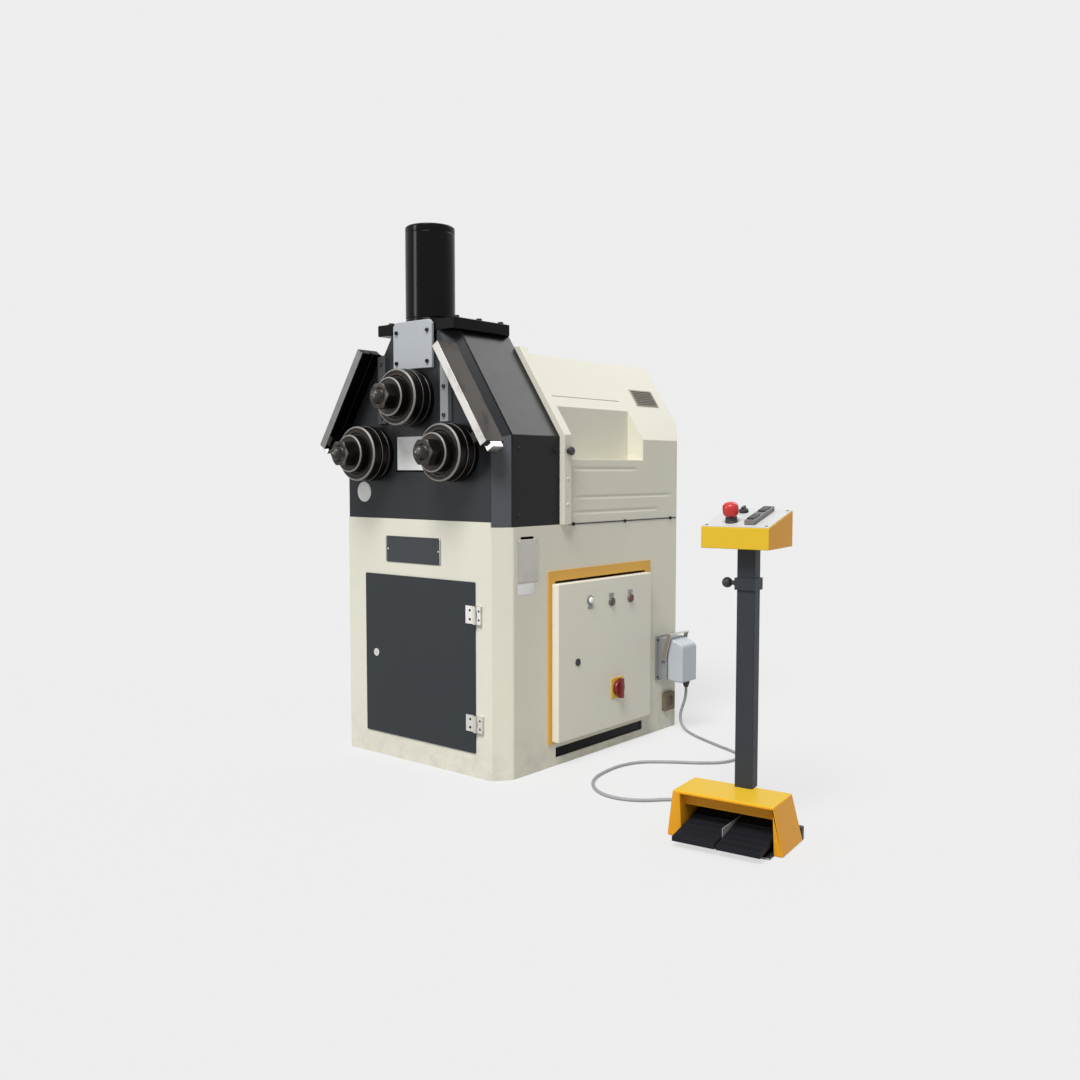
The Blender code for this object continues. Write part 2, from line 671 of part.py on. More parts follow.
def electrical_door():
    tray = box((TRAY_INNER, TRAY_FRONT, TRAY_BOTTOM), (TRAY_FACE, TRAY_REAR, TRAY_TOP))
    hollow_low = (TRAY_INNER - OVERRUN, TRAY_FRONT + TRAY_SHEET, TRAY_BOTTOM + TRAY_SHEET)
    cut(tray, box(hollow_low, (TRAY_FACE - TRAY_SHEET, TRAY_REAR - TRAY_SHEET, TRAY_TOP - TRAY_SHEET)))
    fit_door_hinge(tray)
    inside = TRAY_FACE - TRAY_SHEET / 2
    dome = 0.011
    profile = [(0, 1.1 * dome), (0.6 * dome, dome), (dome, 0.5 * dome), (BEZEL_RADIUS, 0.4 * dome)]
    profile += [(BEZEL_RADIUS, 0), (0, 0)]
    join(tray, turned(profile, (inside, *LAMP_PLACE), (1, 0, 0), sides=16))
    for place in BUTTON_PLACES.values():
        join(tray, cylinder((inside, *place), (TRAY_FACE + BEZEL_DEPTH, *place), BEZEL_RADIUS))
        bore_ends = (TRAY_FACE + BEZEL_FLOOR, *place), (TRAY_FACE + OVERRUN, *place)
        cut(tray, cylinder(*bore_ends, BUTTON_RADIUS + RUNNING))
        cut(tray, through_tray(place, BUTTON_STEM + RUNNING))
    half = 0.034
    corner = 0.006
    y, z = SWITCH_PLACE
    outline = rounded(rectangle(y - half, y + half, z - half, z + half), corner)
    join(tray, prism(outline, "X", inside, TRAY_FACE + SWITCH_PLATE))
    for place in (SWITCH_PLACE, TRAY_LOCK_PLACE):
        cut(tray, through_tray(place, TRAY_BARREL + 2 * GAP))
    axis = (*TRAY_AXIS, (TRAY_BOTTOM + TRAY_TOP) / 2)
    part(tray, "electrical_door", "white_paint", origin=axis)


def door_buttons():
    cap_out = 0.009
    cap_in = 0.0045
    behind = -2 * TRAY_SHEET
    profile = [
        (0, cap_out),
        (0.8 * BUTTON_RADIUS, cap_out),
        (BUTTON_RADIUS, 0.9 * cap_out),
        (BUTTON_RADIUS, cap_in),
        (BUTTON_STEM, cap_in),
        (BUTTON_STEM, behind),
        (0, behind),
    ]
    for name, place in BUTTON_PLACES.items():
        start = (TRAY_FACE, *place)
        cap = turned(profile, start, (1, 0, 0), sides=16)
        part(cap, f"door_button_{name}", "dark_red", origin=start)


def tray_lock():
    y, z = TRAY_LOCK_PLACE
    outside = TRAY_FACE + GAP
    flange = 0.012
    flange_thickness = 0.003
    cam_thickness = 0.002
    cam_length = 0.032
    cam_half = 0.007
    profile = [(0, flange_thickness), (flange, flange_thickness), (flange, 0), (TRAY_BARREL, 0)]
    profile += [(TRAY_BARREL, -TRAY_DEPTH / 2), (0, -TRAY_DEPTH / 2)]
    lock = turned(profile, (outside, y, z), (1, 0, 0), sides=SMALL_SIDES)
    cam_back = outside - TRAY_DEPTH / 2
    cam_low = (cam_back - cam_thickness / 2, y - cam_half, z - cam_half)
    join(lock, box(cam_low, (cam_back + cam_thickness / 2, y + cam_half, z + cam_length)))
    cut(lock, key_slot("X", (y, z), outside + flange_thickness / 2, outside + OVERRUN))
    part(lock, "electrical_door_lock", "dark_steel", origin=(outside, y, z))


def key_slot(axis, place, start, end):
    half_width = 0.0012
    half_length = 0.004
    u, v = place
    return prism(rectangle(u - half_width, u + half_width, v - half_length, v + half_length), axis, start, end)


def main_switch():
    hub = 0.026
    hub_height = 0.012
    grip_half_length = 0.033
    grip_half_width = 0.0075
    grip_height = 0.022
    y, z = SWITCH_PLACE
    start = TRAY_FACE + SWITCH_PLATE + GAP
    behind = -SWITCH_PLATE - 2 * TRAY_SHEET
    profile = [(0, hub_height), (0.92 * hub, hub_height), (hub, 0.8 * hub_height), (hub, 0)]
    profile += [(TRAY_BARREL, 0), (TRAY_BARREL, behind), (0, behind)]
    handle = turned(profile, (start, y, z), (1, 0, 0), sides=28)
    grip = rectangle(y - grip_half_width, y + grip_half_width, z - grip_half_length, z + grip_half_length)
    grip = rounded(grip, grip_half_width / 2, steps=2)
    join(handle, prism(grip, "X", start + hub_height / 2, start + grip_height))
    part(handle, "main_switch_handle", "red", origin=(start, y, z))


def switchgear():
    back = SIDE - BOX_DEPTH + BOX_SHEET + GAP
    plate = 0.002
    margin = 0.03
    left = FRAME_FRONT + BOX_LAP + margin
    right = FRAME_REAR - BOX_LAP - margin
    bottom = FRAME_BOTTOM + BOX_LAP + margin
    top = FRAME_TOP - BOX_LAP - margin
    panel = box((back, left, bottom), (back + plate, right, top))
    width_share = 0.16
    height_share = 0.2
    unit_width = width_share * (right - left)
    unit_height = height_share * (top - bottom)
    unit_depth = 0.075
    rail_height = 0.035
    rail_depth = 0.0075
    row_shares = (0.25, 0.52, 0.8)
    units = (4, 3, 2)
    for share, count in zip(row_shares, units):
        z = bottom + share * (top - bottom)
        rail_low = (back + plate / 2, left + plate, z - rail_height / 2)
        join(panel, box(rail_low, (back + plate + rail_depth, right - plate, z + rail_height / 2)))
        for i in range(count):
            y = left + plate + unit_width * (i * 1.3 + height_share)
            low = (back + plate, y, z - unit_height / 2)
            join(panel, box(low, (back + unit_depth, y + unit_width, z + unit_height / 2)))
    part(panel, "switchgear_panel", "light_grey")


# The cable's way out of the plug's lower side and into the pedestal's rear wall
GLAND_INSET = 0.02
GLAND_OFFSET = 0.0105
GLAND_PLACE = (PLUG_END - GLAND_INSET, (SOCKET_FRONT + SOCKET_REAR) / 2 + GLAND_OFFSET)
GLAND_LENGTH = 0.024
PLUG_OVERHANG = 0.006
PLUG_BOTTOM = SOCKET_BOTTOM - PLUG_OVERHANG
RELIEF_PLACE = (-0.062, 0.032)
RELIEF_LENGTH = 0.02
HOOD_REAR_LOW = 0.073
HOOD_REAR_TOP = 0.0475
REAR_WALL_AT_RELIEF = HOOD_REAR_LOW + (HOOD_REAR_TOP - HOOD_REAR_LOW) * RELIEF_PLACE[1] / HOOD_HEIGHT


def gland(place, length, direction):
    # A screwed gland that reaches one radius into the wall it sits on
    outer = 0.011
    neck = 0.007
    profile = [(0, length), (neck, length), (neck, 0.6 * length), (outer, 0.5 * length), (outer, -neck), (0, -neck)]
    return turned(profile, place, direction, sides=12)


# Connector on the right side
def connector():
    near = SIDE + GAP
    out = near + SOCKET_DEPTH
    housing = box((near, SOCKET_FRONT, SOCKET_BOTTOM), (out, SOCKET_REAR, SOCKET_TOP))
    foot = 0.012
    foot_depth = 0.006
    foot_low = (near, SOCKET_FRONT - foot, SOCKET_BOTTOM - foot / 2)
    join(housing, box(foot_low, (near + foot_depth, SOCKET_REAR + foot, SOCKET_TOP + foot / 2)))
    pivot_z = (SOCKET_BOTTOM + SOCKET_TOP) / 2
    pivot_x = near + 0.7 * SOCKET_DEPTH
    pivot = 0.004
    pivot_length = 0.008
    for start, way in ((SOCKET_FRONT, -1), (SOCKET_REAR, 1)):
        root = (pivot_x, start - way * pivot_length, pivot_z)
        join(housing, cylinder(root, (pivot_x, start + way * pivot_length, pivot_z), pivot, sides=12))
    part(housing, "connector_housing", "cast_iron")

    plug_near = out + GAP
    shrink = 0.006
    plug_low = PLUG_BOTTOM
    shape = [
        (plug_near, plug_low + shrink),
        (plug_near, SOCKET_TOP),
        (plug_near + 0.3 * SOCKET_DEPTH, SOCKET_TOP),
        (PLUG_END - shrink, SOCKET_TOP - 3 * shrink),
        (PLUG_END, SOCKET_TOP - 5 * shrink),
        (PLUG_END, plug_low),
        (PLUG_END - 0.9 * SOCKET_DEPTH, plug_low),
    ]
    plug = prism(shape, "Y", SOCKET_FRONT + shrink, SOCKET_REAR - shrink)
    bevel = plug.modifiers.new("edges", "BEVEL")
    bevel.width = shrink / 2
    bevel.segments = 1
    join(plug, gland((*GLAND_PLACE, PLUG_BOTTOM), GLAND_LENGTH, (0, 0, -1)))
    part(plug, "connector_plug", "light_grey")

    arm = 0.004
    lever_gap = pivot_length / 4
    lever_out = plug_near + 0.35 * SOCKET_DEPTH
    lever_top = SOCKET_TOP + 3 * shrink
    front_face = SOCKET_FRONT - lever_gap
    rear_face = SOCKET_REAR + lever_gap
    half = 2 * pivot
    side_shape = [
        (pivot_x - half, pivot_z - half),
        (pivot_x + half, pivot_z - half),
        (lever_out + half, lever_top),
        (lever_out - half, lever_top),
    ]
    lever = prism(side_shape, "Y", front_face - arm, front_face)
    join(lever, prism(side_shape, "Y", rear_face, rear_face + arm))
    bar_low = (lever_out - half, front_face - arm, lever_top - arm)
    join(lever, box(bar_low, (lever_out + half, rear_face + arm, lever_top)))
    hole_ends = (pivot_x, front_face - OVERRUN, pivot_z), (pivot_x, rear_face + OVERRUN, pivot_z)
    cut(lever, cylinder(*hole_ends, pivot + RUNNING, sides=12))
    part(lever, "connector_lever", "steel", origin=(pivot_x, SOCKET_FRONT, pivot_z))


CABLE_FLOOR = CABLE_RADIUS + GAP
# The cable's route, chosen by hand: down from the gland, a loop towards the wall,
# then along the floor in a long bend round behind the pedestal and up to its rear
CABLE_DROP = [
    (0.0, 0.0, 0.0177),
    (-0.0045, 0.0, 0.0447),
    (-0.014, -0.001, 0.0737),
    (-0.0205, -0.0025, 0.0997),
    (-0.0175, -0.0045, 0.1252),
    (-0.0005, -0.0095, 0.1452),
    (0.0295, -0.0235, 0.1538),
]
GLAND_MOUTH = (*GLAND_PLACE, PLUG_BOTTOM - GLAND_LENGTH - GAP)
CABLE_ROUTE = [GLAND_MOUTH] + [
    (GLAND_MOUTH[0] + x, GLAND_MOUTH[1] + y, GLAND_MOUTH[2] - fall) for x, y, fall in CABLE_DROP
]
CABLE_ROUTE += [
    (0.5285, 0.3285, CABLE_FLOOR),
    (0.643, 0.272, CABLE_FLOOR),
    (0.705, 0.245, CABLE_FLOOR),
    (0.752, 0.212, CABLE_FLOOR),
    (0.769, 0.165, CABLE_FLOOR),
    (0.752, 0.103, CABLE_FLOOR),
    (0.697, 0.050, CABLE_FLOOR),
    (0.621, 0.001, CABLE_FLOOR),
    (0.556, -0.056, CABLE_FLOOR),
    (0.529, -0.128, CABLE_FLOOR),
    (0.530, -0.208, CABLE_FLOOR),
    (0.546, -0.284, CABLE_FLOOR),
    (0.580, -0.344, CABLE_FLOOR),
    (0.627, -0.386, CABLE_FLOOR),
    (0.678, -0.404, CABLE_FLOOR),
    (0.730, -0.400, CABLE_FLOOR),
    (0.779, -0.373, CABLE_FLOOR),
    (0.824, -0.326, CABLE_FLOOR),
    (0.880, -0.286, CABLE_FLOOR),
    (0.950, -0.272, 0.007),
    (1.0035, -0.2865, 0.014),
    (1.0335, -0.3235, 0.026),
]
CABLE_STEP = 0.025


def cable_end_points(pedestal):
    # The last two points, straight out of the strain relief
    x, z = RELIEF_PLACE
    mouth = REAR_WALL_AT_RELIEF + RELIEF_LENGTH + GAP
    lead = 3 * CABLE_RADIUS
    return [pedestal.matrix_world @ Vector((x, y, z)) for y in (mouth + lead, mouth)]


def smooth_route(route, step):
    # Points about one step apart along a Catmull-Rom curve through the route
    points = [Vector(point) for point in route]
    padded = [2 * points[0] - points[1]] + points + [2 * points[-1] - points[-2]]
    smooth = []
    for before, start, end, after in zip(padded, padded[1:], padded[2:], padded[3:]):
        pieces = max(1, round((end - start).length / step))
        for i in range(pieces):
            t = i / pieces
            bend = 2 * before - 5 * start + 4 * end - after
            twist = 3 * start - 3 * end + after - before
            smooth.append((2 * start + (end - before) * t + bend * t * t + twist * t * t * t) / 2)
    smooth.append(points[-1])
    for point in smooth[1:-1]:
        point.z = max(point.z, CABLE_FLOOR)
    return smooth


def control_cable(pedestal):
    curve = bpy.data.curves.new("control_cable", "CURVE")
    curve.dimensions = "3D"
    curve.bevel_depth = CABLE_RADIUS
    curve.bevel_resolution = 2
    curve.use_fill_caps = True
    points = smooth_route(CABLE_ROUTE + cable_end_points(pedestal), CABLE_STEP)
    spline = curve.splines.new("POLY")
    spline.points.add(len(points) - 1)
    for point, place in zip(spline.points, points):
        point.co = (*place, 1)
    length = sum((b - a).length for a, b in zip(points, points[1:]))
    print(f"cable length {length:.3f} m over {len(points)} points")
    part(baked(bpy.data.objects.new("cable", curve), Matrix.Identity(4)), "control_cable", "cable_grey")


# Head
def bevel_cutter(start, end, outward):
    # A long wedge that bevels the front edge of the head from start to end.
    # start and end are (x, z) on the edge, outward the normal in the same plane
    start, end, outward = Vector(start), Vector(end), Vector(outward)
    along = (end - start).normalized()
    length = (end - start).length + 2 * OVERRUN
    wedge = prism(
        [
            (-CORNER_WIDTH, HEAD_FRONT),
            (-CORNER_WIDTH - OVERRUN * CORNER_WIDTH / CORNER_DEPTH, HEAD_FRONT - OVERRUN),
            (OVERRUN, HEAD_FRONT - OVERRUN),
            (OVERRUN, FRONT + CORNER_DEPTH + OVERRUN * CORNER_DEPTH / CORNER_WIDTH),
            (0, FRONT + CORNER_DEPTH),
        ],
        "Z",
        0,
        length,
    )
    corner = start - along * OVERRUN
    placing = Matrix(
        (
            (outward.x, 0, along.x, corner.x),
            (0, 1, 0, 0),
            (outward.y, 0, along.y, corner.y),
            (0, 0, 0, 1),
        )
    )
    wedge.data.transform(placing)
    if placing.determinant() < 0:
        wedge.data.flip_normals()
    return wedge


def head_frame():
    back = HEAD_FRONT + HEAD_PLATE - SHEET
    plate = prism(gable(0, HEAD_BOTTOM, HEAD_TOP - GAP), "Y", HEAD_FRONT, back)
    slot_half = SLIDE_HALF + GAP
    slot_bottom = SLIDE_BOTTOM - SLIDE_TRAVEL - SLOT_ROOM
    cut(plate, box((-slot_half, HEAD_FRONT - OVERRUN, slot_bottom), (slot_half, back + OVERRUN, HEAD_TOP + OVERRUN)))
    for side in (-1, 1):
        x = side * LOWER_SPREAD
        ends = (x, HEAD_FRONT - OVERRUN, LOWER_HEIGHT), (x, back + OVERRUN, LOWER_HEIGHT)
        cut(plate, cylinder(*ends, SPIGOT + 2 * GAP, sides=ROUND_SIDES))
        foot = (side * SIDE, HEAD_BOTTOM)
        shoulder = (side * SIDE, SHOULDER)
        top = (side * HEAD_TOP_HALF, HEAD_TOP)
        cut(plate, bevel_cutter(foot, shoulder, (side, 0)))
        cut(plate, bevel_cutter(shoulder, top, (side * SLOPE_COS, SLOPE_SIN)))
    for strip in slide_strips():
        join(plate, strip)
    part(plate, "head_frame", "graphite")


def head_cover():
    start = HEAD_FRONT + HEAD_PLATE - SHEET + GAP
    cover = prism(gable(0, HEAD_BOTTOM, HEAD_TOP - GAP), "Y", start, HEAD_BACK)
    inner = gable(COVER_SHEET, HEAD_BOTTOM - OVERRUN, HEAD_TOP - COVER_SHEET)
    cut(cover, prism(inner, "Y", start - OVERRUN, HEAD_BACK + OVERRUN))
    rod_room = ROD_RADIUS * 1.5
    room_low = (-rod_room, start - OVERRUN, HEAD_TOP - OVERRUN)
    cut(cover, box(room_low, (rod_room, CYLINDER_PLACE + rod_room, HEAD_TOP + OVERRUN)))
    part(cover, "head_cover", "grey_paint")


def rear_bearing_plate():
    inset = COVER_SHEET + GAP
    front = REAR_PLATE_BACK - REAR_PLATE
    plate = prism(gable(inset, HEAD_BOTTOM, SLIDE_TOP), "Y", front, REAR_PLATE_BACK)
    slot_half = SLIDE_HALF + GAP
    slot_bottom = SLIDE_BOTTOM - SLIDE_TRAVEL - SLOT_ROOM / 2
    low = (-slot_half, front - OVERRUN, slot_bottom)
    cut(plate, box(low, (slot_half, REAR_PLATE_BACK + OVERRUN, HEAD_TOP)))
    for x in (-LOWER_SPREAD, LOWER_SPREAD):
        ends = (x, front - OVERRUN, LOWER_HEIGHT), (x, REAR_PLATE_BACK + OVERRUN, LOWER_HEIGHT)
        cut(plate, cylinder(*ends, JOURNAL + RUNNING, sides=ROUND_SIDES))
    part(plate, "rear_bearing_plate", "cast_iron")


def cap_plate():
    overhang = 0.018
    half = HEAD_TOP_HALF + overhang
    rear = HEAD_BACK + 0.6 * HOOD_RIM
    corner = 0.03
    front = HEAD_FRONT
    outline = [(half, front), (half, rear - corner), (half - corner, rear)]
    outline += [(-x, y) for x, y in reversed(outline)]
    hole = circle((0, CYLINDER_PLACE), ROD_RADIUS + 2 * GAP, ROUND_SIDES)
    plate = prism(outline, "Z", HEAD_TOP, HEAD_TOP + CAP_THICKNESS, holes=(hole,))
    bevel = plate.modifiers.new("edges", "BEVEL")
    bevel.width = CAP_THICKNESS / 12
    bevel.segments = 1
    bevel.limit_method = "ANGLE"
    bevel.angle_limit = math.radians(40)
    part(plate, "cap_plate", "graphite")


def cylinder_and_rod():
    bottom = HEAD_TOP + CAP_THICKNESS + GAP
    height = CYLINDER_TOP - bottom
    roof = 0.02
    edge = 0.003
    profile = [
        (0, height),
        (CYLINDER_RADIUS - edge, height),
        (CYLINDER_RADIUS, height - edge),
        (CYLINDER_RADIUS, 0),
        (CYLINDER_BORE, 0),
        (CYLINDER_BORE, height - roof),
        (0, height - roof),
    ]
    barrel = turned(profile, (0, CYLINDER_PLACE, bottom), (0, 0, 1))
    part(barrel, "hydraulic_cylinder", "black_gloss")
    start = SLIDE_TOP + GAP
    piston_top = CYLINDER_TOP - roof - edge - start
    piston = CYLINDER_BORE - 2 * GAP
    profile = [
        (0, piston_top),
        (piston, piston_top),
        (piston, piston_top - PISTON_HEIGHT),
        (ROD_RADIUS, piston_top - PISTON_HEIGHT),
        (ROD_RADIUS, 0),
        (0, 0),
    ]
    rod = turned(profile, (0, CYLINDER_PLACE, start), (0, 0, 1))
    part(rod, "cylinder_rod", "steel", origin=(0, CYLINDER_PLACE, start))


def top_slide():
    slide = box((-SLIDE_HALF, HEAD_FRONT, SLIDE_BOTTOM), (SLIDE_HALF, REAR_PLATE_BACK, SLIDE_TOP))
    ends = (0, HEAD_FRONT - OVERRUN, TOP_HEIGHT), (0, REAR_PLATE_BACK + OVERRUN, TOP_HEIGHT)
    cut(slide, cylinder(*ends, JOURNAL + RUNNING, sides=ROUND_SIDES))
    part(slide, "top_slide", "graphite", origin=(0, HEAD_FRONT, SLIDE_BOTTOM))


def slide_cover_plate():
    inset = 0.009
    lift = 0.004
    half = SLIDE_HALF - inset
    bottom = TOP_HEIGHT + FLANGE_RADIUS + lift
    top = HEAD_TOP + CAP_THICKNESS
    thickness = 0.012
    corner = 0.012
    back = HEAD_FRONT - GAP
    outline = [(half, bottom), (half, top - corner), (half - corner, top)]
    outline += [(-x, z) for x, z in reversed(outline)]
    plate = prism(outline, "Y", back - thickness, back)
    bevel = plate.modifiers.new("edges", "BEVEL")
    bevel.width = thickness / 6
    bevel.segments = 1
    part(plate, "slide_cover_plate", "grey_paint")


def slide_strips():
    # The two upright strips that keep the slide in the front plate
    slide_room = 0.027
    rail_room = 0.003
    lift = 0.094
    drop = 0.066
    thickness = 0.014
    bottom = LOWER_HEIGHT + lift
    top = HEAD_TOP - drop
    inner = SLIDE_HALF + slide_room
    outer = slope_point(1, top, RAIL_SETBACK + RAIL_WIDTH).x - rail_room
    for side in (-1, 1):
        xs = sorted((side * inner, side * outer))
        yield prism(rectangle(*xs, bottom, top), "Y", HEAD_FRONT - thickness, HEAD_FRONT + thickness)


RAIL_WIDTH = 0.027
RAIL_DEPTH = 0.078
RAIL_LIFT = 0.031
RAIL_DROP = 0.044
RAIL_LOW = LOWER_HEIGHT + RAIL_LIFT
RAIL_HIGH = HEAD_TOP - RAIL_DROP
RAIL_SETBACK = 0.003


def slope_point(side, height, inset):
    x = (SLOPE_REACH - inset - height * SLOPE_SIN) / SLOPE_COS
    return Vector((side * x, height))


def side_guides():
    # Slanted bars in front of the plate, and the block that slides on each
    back = HEAD_FRONT - GAP
    groove_width = 0.008
    groove_depth = 0.01
    block_length = 0.032
    block_lift = 0.02
    for name, side in (("left", -1), ("right", 1)):
        outer_low = slope_point(side, RAIL_LOW, RAIL_SETBACK)
        outer_high = slope_point(side, RAIL_HIGH, RAIL_SETBACK)
        inward = Vector((-side * SLOPE_COS, -SLOPE_SIN))
        along = (outer_high - outer_low).normalized()
        width = inward * RAIL_WIDTH
        outline = [outer_low, outer_high, outer_high + width, outer_low + width]
        rail = prism(outline, "Y", back - RAIL_DEPTH, back)
        groove_start = outer_low + inward * (RAIL_WIDTH - groove_depth) - along * OVERRUN
        groove_end = outer_high + inward * (RAIL_WIDTH - groove_depth) + along * OVERRUN
        deep = inward * (groove_depth + OVERRUN)
        groove = [groove_start, groove_end, groove_end + deep, groove_start + deep]
        middle = back - RAIL_DEPTH / 2
        cut(rail, prism(groove, "Y", middle - groove_width / 2, middle + groove_width / 2))
        part(rail, f"side_guide_rail_{name}", "steel")

        # The block has a tongue in the bar's groove
        start = outer_low + along * block_lift + inward * (RAIL_WIDTH + GAP)
        thickness = inward * RAIL_WIDTH * 0.6
        body = [start, start + along * block_length, start + along * block_length + thickness, start + thickness]
        block = prism(body, "Y", back - RAIL_DEPTH, back - GAP)
        tongue_deep = inward * (groove_depth - 2 * GAP)
        first = start - tongue_deep
        last = first + along * block_length
        lap = thickness / 2
        tongue = [first, last, last + tongue_deep + lap, first + tongue_deep + lap]
        half = groove_width / 2 - GAP
        join(block, prism(tongue, "Y", middle - half, middle + half))
        origin = start.x, middle, start.y
        part(block, f"side_guide_block_{name}", "steel", origin=origin)


# Rolls: one stack per shaft, all facing the front
def bearing_flange(name, x, z, spigot_length):
    outer = FLANGE_RADIUS
    bore = JOURNAL + RUNNING
    profile = [
        (bore, FLANGE_THICKNESS),
        (0.95 * outer, FLANGE_THICKNESS),
        (outer, 0.8 * FLANGE_THICKNESS),
        (outer, 0),
        (SPIGOT, 0),
        (SPIGOT, -spigot_length),
        (bore, -spigot_length),
    ]
    if not spigot_length:
        profile = profile[:4] + [(bore, 0)]
    start = (x, HEAD_FRONT - GAP, z)
    flange = turned(profile, start, (0, -1, 0), ring=True)
    part(flange, name, "dark_steel", origin=start)


def roll_front():
    # Distance from the head's front face to the rolls
    return HEAD_FRONT - GAP - FLANGE_THICKNESS


def roll(name, x, z):
    groove_radius = ROLL_RADIUS - 0.006
    groove_width = 0.004
    edge = 0.003
    disc = (ROLL_WIDTH - groove_width) / 2
    bore = ROLL_SEAT + GAP
    dish = 0.004
    ring = 0.059
    front = ROLL_WIDTH + RING_WIDTH
    profile = [
        (bore, front),
        (ring - edge, front),
        (ring, front - edge),
        (ring, ROLL_WIDTH - dish),
        (0.72 * ROLL_RADIUS, ROLL_WIDTH - dish),
        (0.76 * ROLL_RADIUS, ROLL_WIDTH),
        (0.98 * ROLL_RADIUS - edge, ROLL_WIDTH),
        (0.98 * ROLL_RADIUS, ROLL_WIDTH - edge),
        (0.98 * ROLL_RADIUS, disc + groove_width),
        (groove_radius, disc + groove_width),
        (groove_radius, disc),
        (ROLL_RADIUS, disc),
        (ROLL_RADIUS, edge),
        (ROLL_RADIUS - edge, 0),
        (bore, 0),
    ]
    start = (x, roll_front() - GAP, z)
    part(turned(profile, start, (0, -1, 0), ring=True), name, "dark_steel", origin=start)


def lock_nut(name, x, z):
    corner = 0.0425
    front = roll_front() - ROLL_WIDTH - RING_WIDTH - 2 * GAP
    hexagon = circle((x, z), corner, 6)
    nut = prism(hexagon, "Y", front - NUT_WIDTH, front, holes=(circle((x, z), THREAD + GAP, 24),))
    crown = 0.006
    full = NUT_WIDTH + OVERRUN
    cone = [
        (0, full),
        (corner - crown - OVERRUN, full),
        (corner - crown, NUT_WIDTH),
        (corner, NUT_WIDTH - crown),
        (corner, -OVERRUN),
        (0, -OVERRUN),
    ]
    combine(nut, turned(cone, (x, front, z), (0, -1, 0), sides=24), "INTERSECT")
    part(nut, name, "dark_steel", origin=(x, front, z))


def shaft(name, x, z, rear, tail=None):
    # Turned shaft from its rear end to its domed tip; tail carries a toothed wheel
    seat_end = rear - (roll_front() - ROLL_WIDTH - RING_WIDTH)
    thread_end = seat_end + NUT_WIDTH
    tip = thread_end + TIP_LENGTH
    journal_start = tail if tail else 0
    profile = [
        (0, tip),
        (0.4 * THREAD, 0.99 * tip),
        (0.75 * THREAD, tip - TIP_LENGTH * 0.35),
        (THREAD, thread_end),
        (THREAD, seat_end),
        (ROLL_SEAT, seat_end),
        (ROLL_SEAT, rear - roll_front()),
        (JOURNAL, rear - roll_front()),
        (JOURNAL, journal_start),
    ]
    if tail:
        profile += [(ROLL_SEAT, journal_start), (ROLL_SEAT, 0)]
    profile.append((0, 0))
    start = (x, rear, z)
    part(turned(profile, start, (0, -1, 0)), name, "steel", origin=start)


def involute_angle(radius, base):
    # Polar angle of the involute at this radius, from where it leaves its base circle
    if radius <= base:
        return 0.0
    turn = math.sqrt((radius / base) ** 2 - 1)
    return turn - math.atan(turn)


def toothed_outline(teeth, centre, first_tooth, flank_shares):
    # A spur wheel's outline. first_tooth is the direction of one tooth's middle, and
    # flank_shares places the points of a flank between the root and the tip
    pitch = GEAR_MODULE * teeth / 2
    base = pitch * math.cos(PRESSURE_ANGLE)
    root = pitch - 1.25 * GEAR_MODULE
    tip = pitch + GEAR_MODULE * 0.95
    half_tooth = math.pi / teeth / 2 - BACKLASH / pitch / 2
    at_pitch = involute_angle(pitch, base)
    flank = []
    for share in flank_shares:
        radius = root + share * (tip - root)
        flank.append((radius, half_tooth + at_pitch - involute_angle(radius, base)))
    points = []
    for tooth in range(teeth):
        middle = first_tooth + 2 * math.pi * tooth / teeth
        for radius, half in flank:
            points.append((radius, middle - half))
        for radius, half in reversed(flank):
            points.append((radius, middle + half))
    return [(centre[0] + r * math.cos(a), centre[1] + r * math.sin(a)) for r, a in points]


def gear_train():
    back = GEAR_FRONT + GEAR_WIDTH
    flank_shares = (0.0, 1.0)
    for name, side, first in (("left", -1, 0.0), ("right", 1, math.pi)):
        centre = (side * LOWER_SPREAD, LOWER_HEIGHT)
        bore = circle(centre, ROLL_SEAT + GAP, 24)
        outline = toothed_outline(GEAR_TEETH, centre, first, flank_shares)
        gear = prism(outline, "Y", GEAR_FRONT, back, holes=(bore,))
        part(gear, f"drive_gear_{name}", "steel", origin=(centre[0], GEAR_FRONT, LOWER_HEIGHT))
    centre = (0, LOWER_HEIGHT)
    gap_first = math.pi / PINION_TEETH
    outline = toothed_outline(PINION_TEETH, centre, gap_first, flank_shares)
    pinion = prism(outline, "Y", GEAR_FRONT, back)
    start = (0, back - GEAR_WIDTH / 2, LOWER_HEIGHT)
    join(pinion, cylinder(start, (0, GEARBOX_FRONT + 2 * PINION_SHAFT, LOWER_HEIGHT), PINION_SHAFT))
    part(pinion, "drive_pinion", "steel", origin=(0, GEAR_FRONT, LOWER_HEIGHT))


PINION_SHAFT = 0.022
GEARBOX_FRONT = GEAR_FRONT + GEAR_WIDTH + 0.006
GEARBOX_LENGTH = 0.187
MOTOR_LENGTH = 0.3
GEARBOX_BACK = GEARBOX_FRONT + GEARBOX_LENGTH
MOTOR_BACK = GEARBOX_BACK + MOTOR_LENGTH


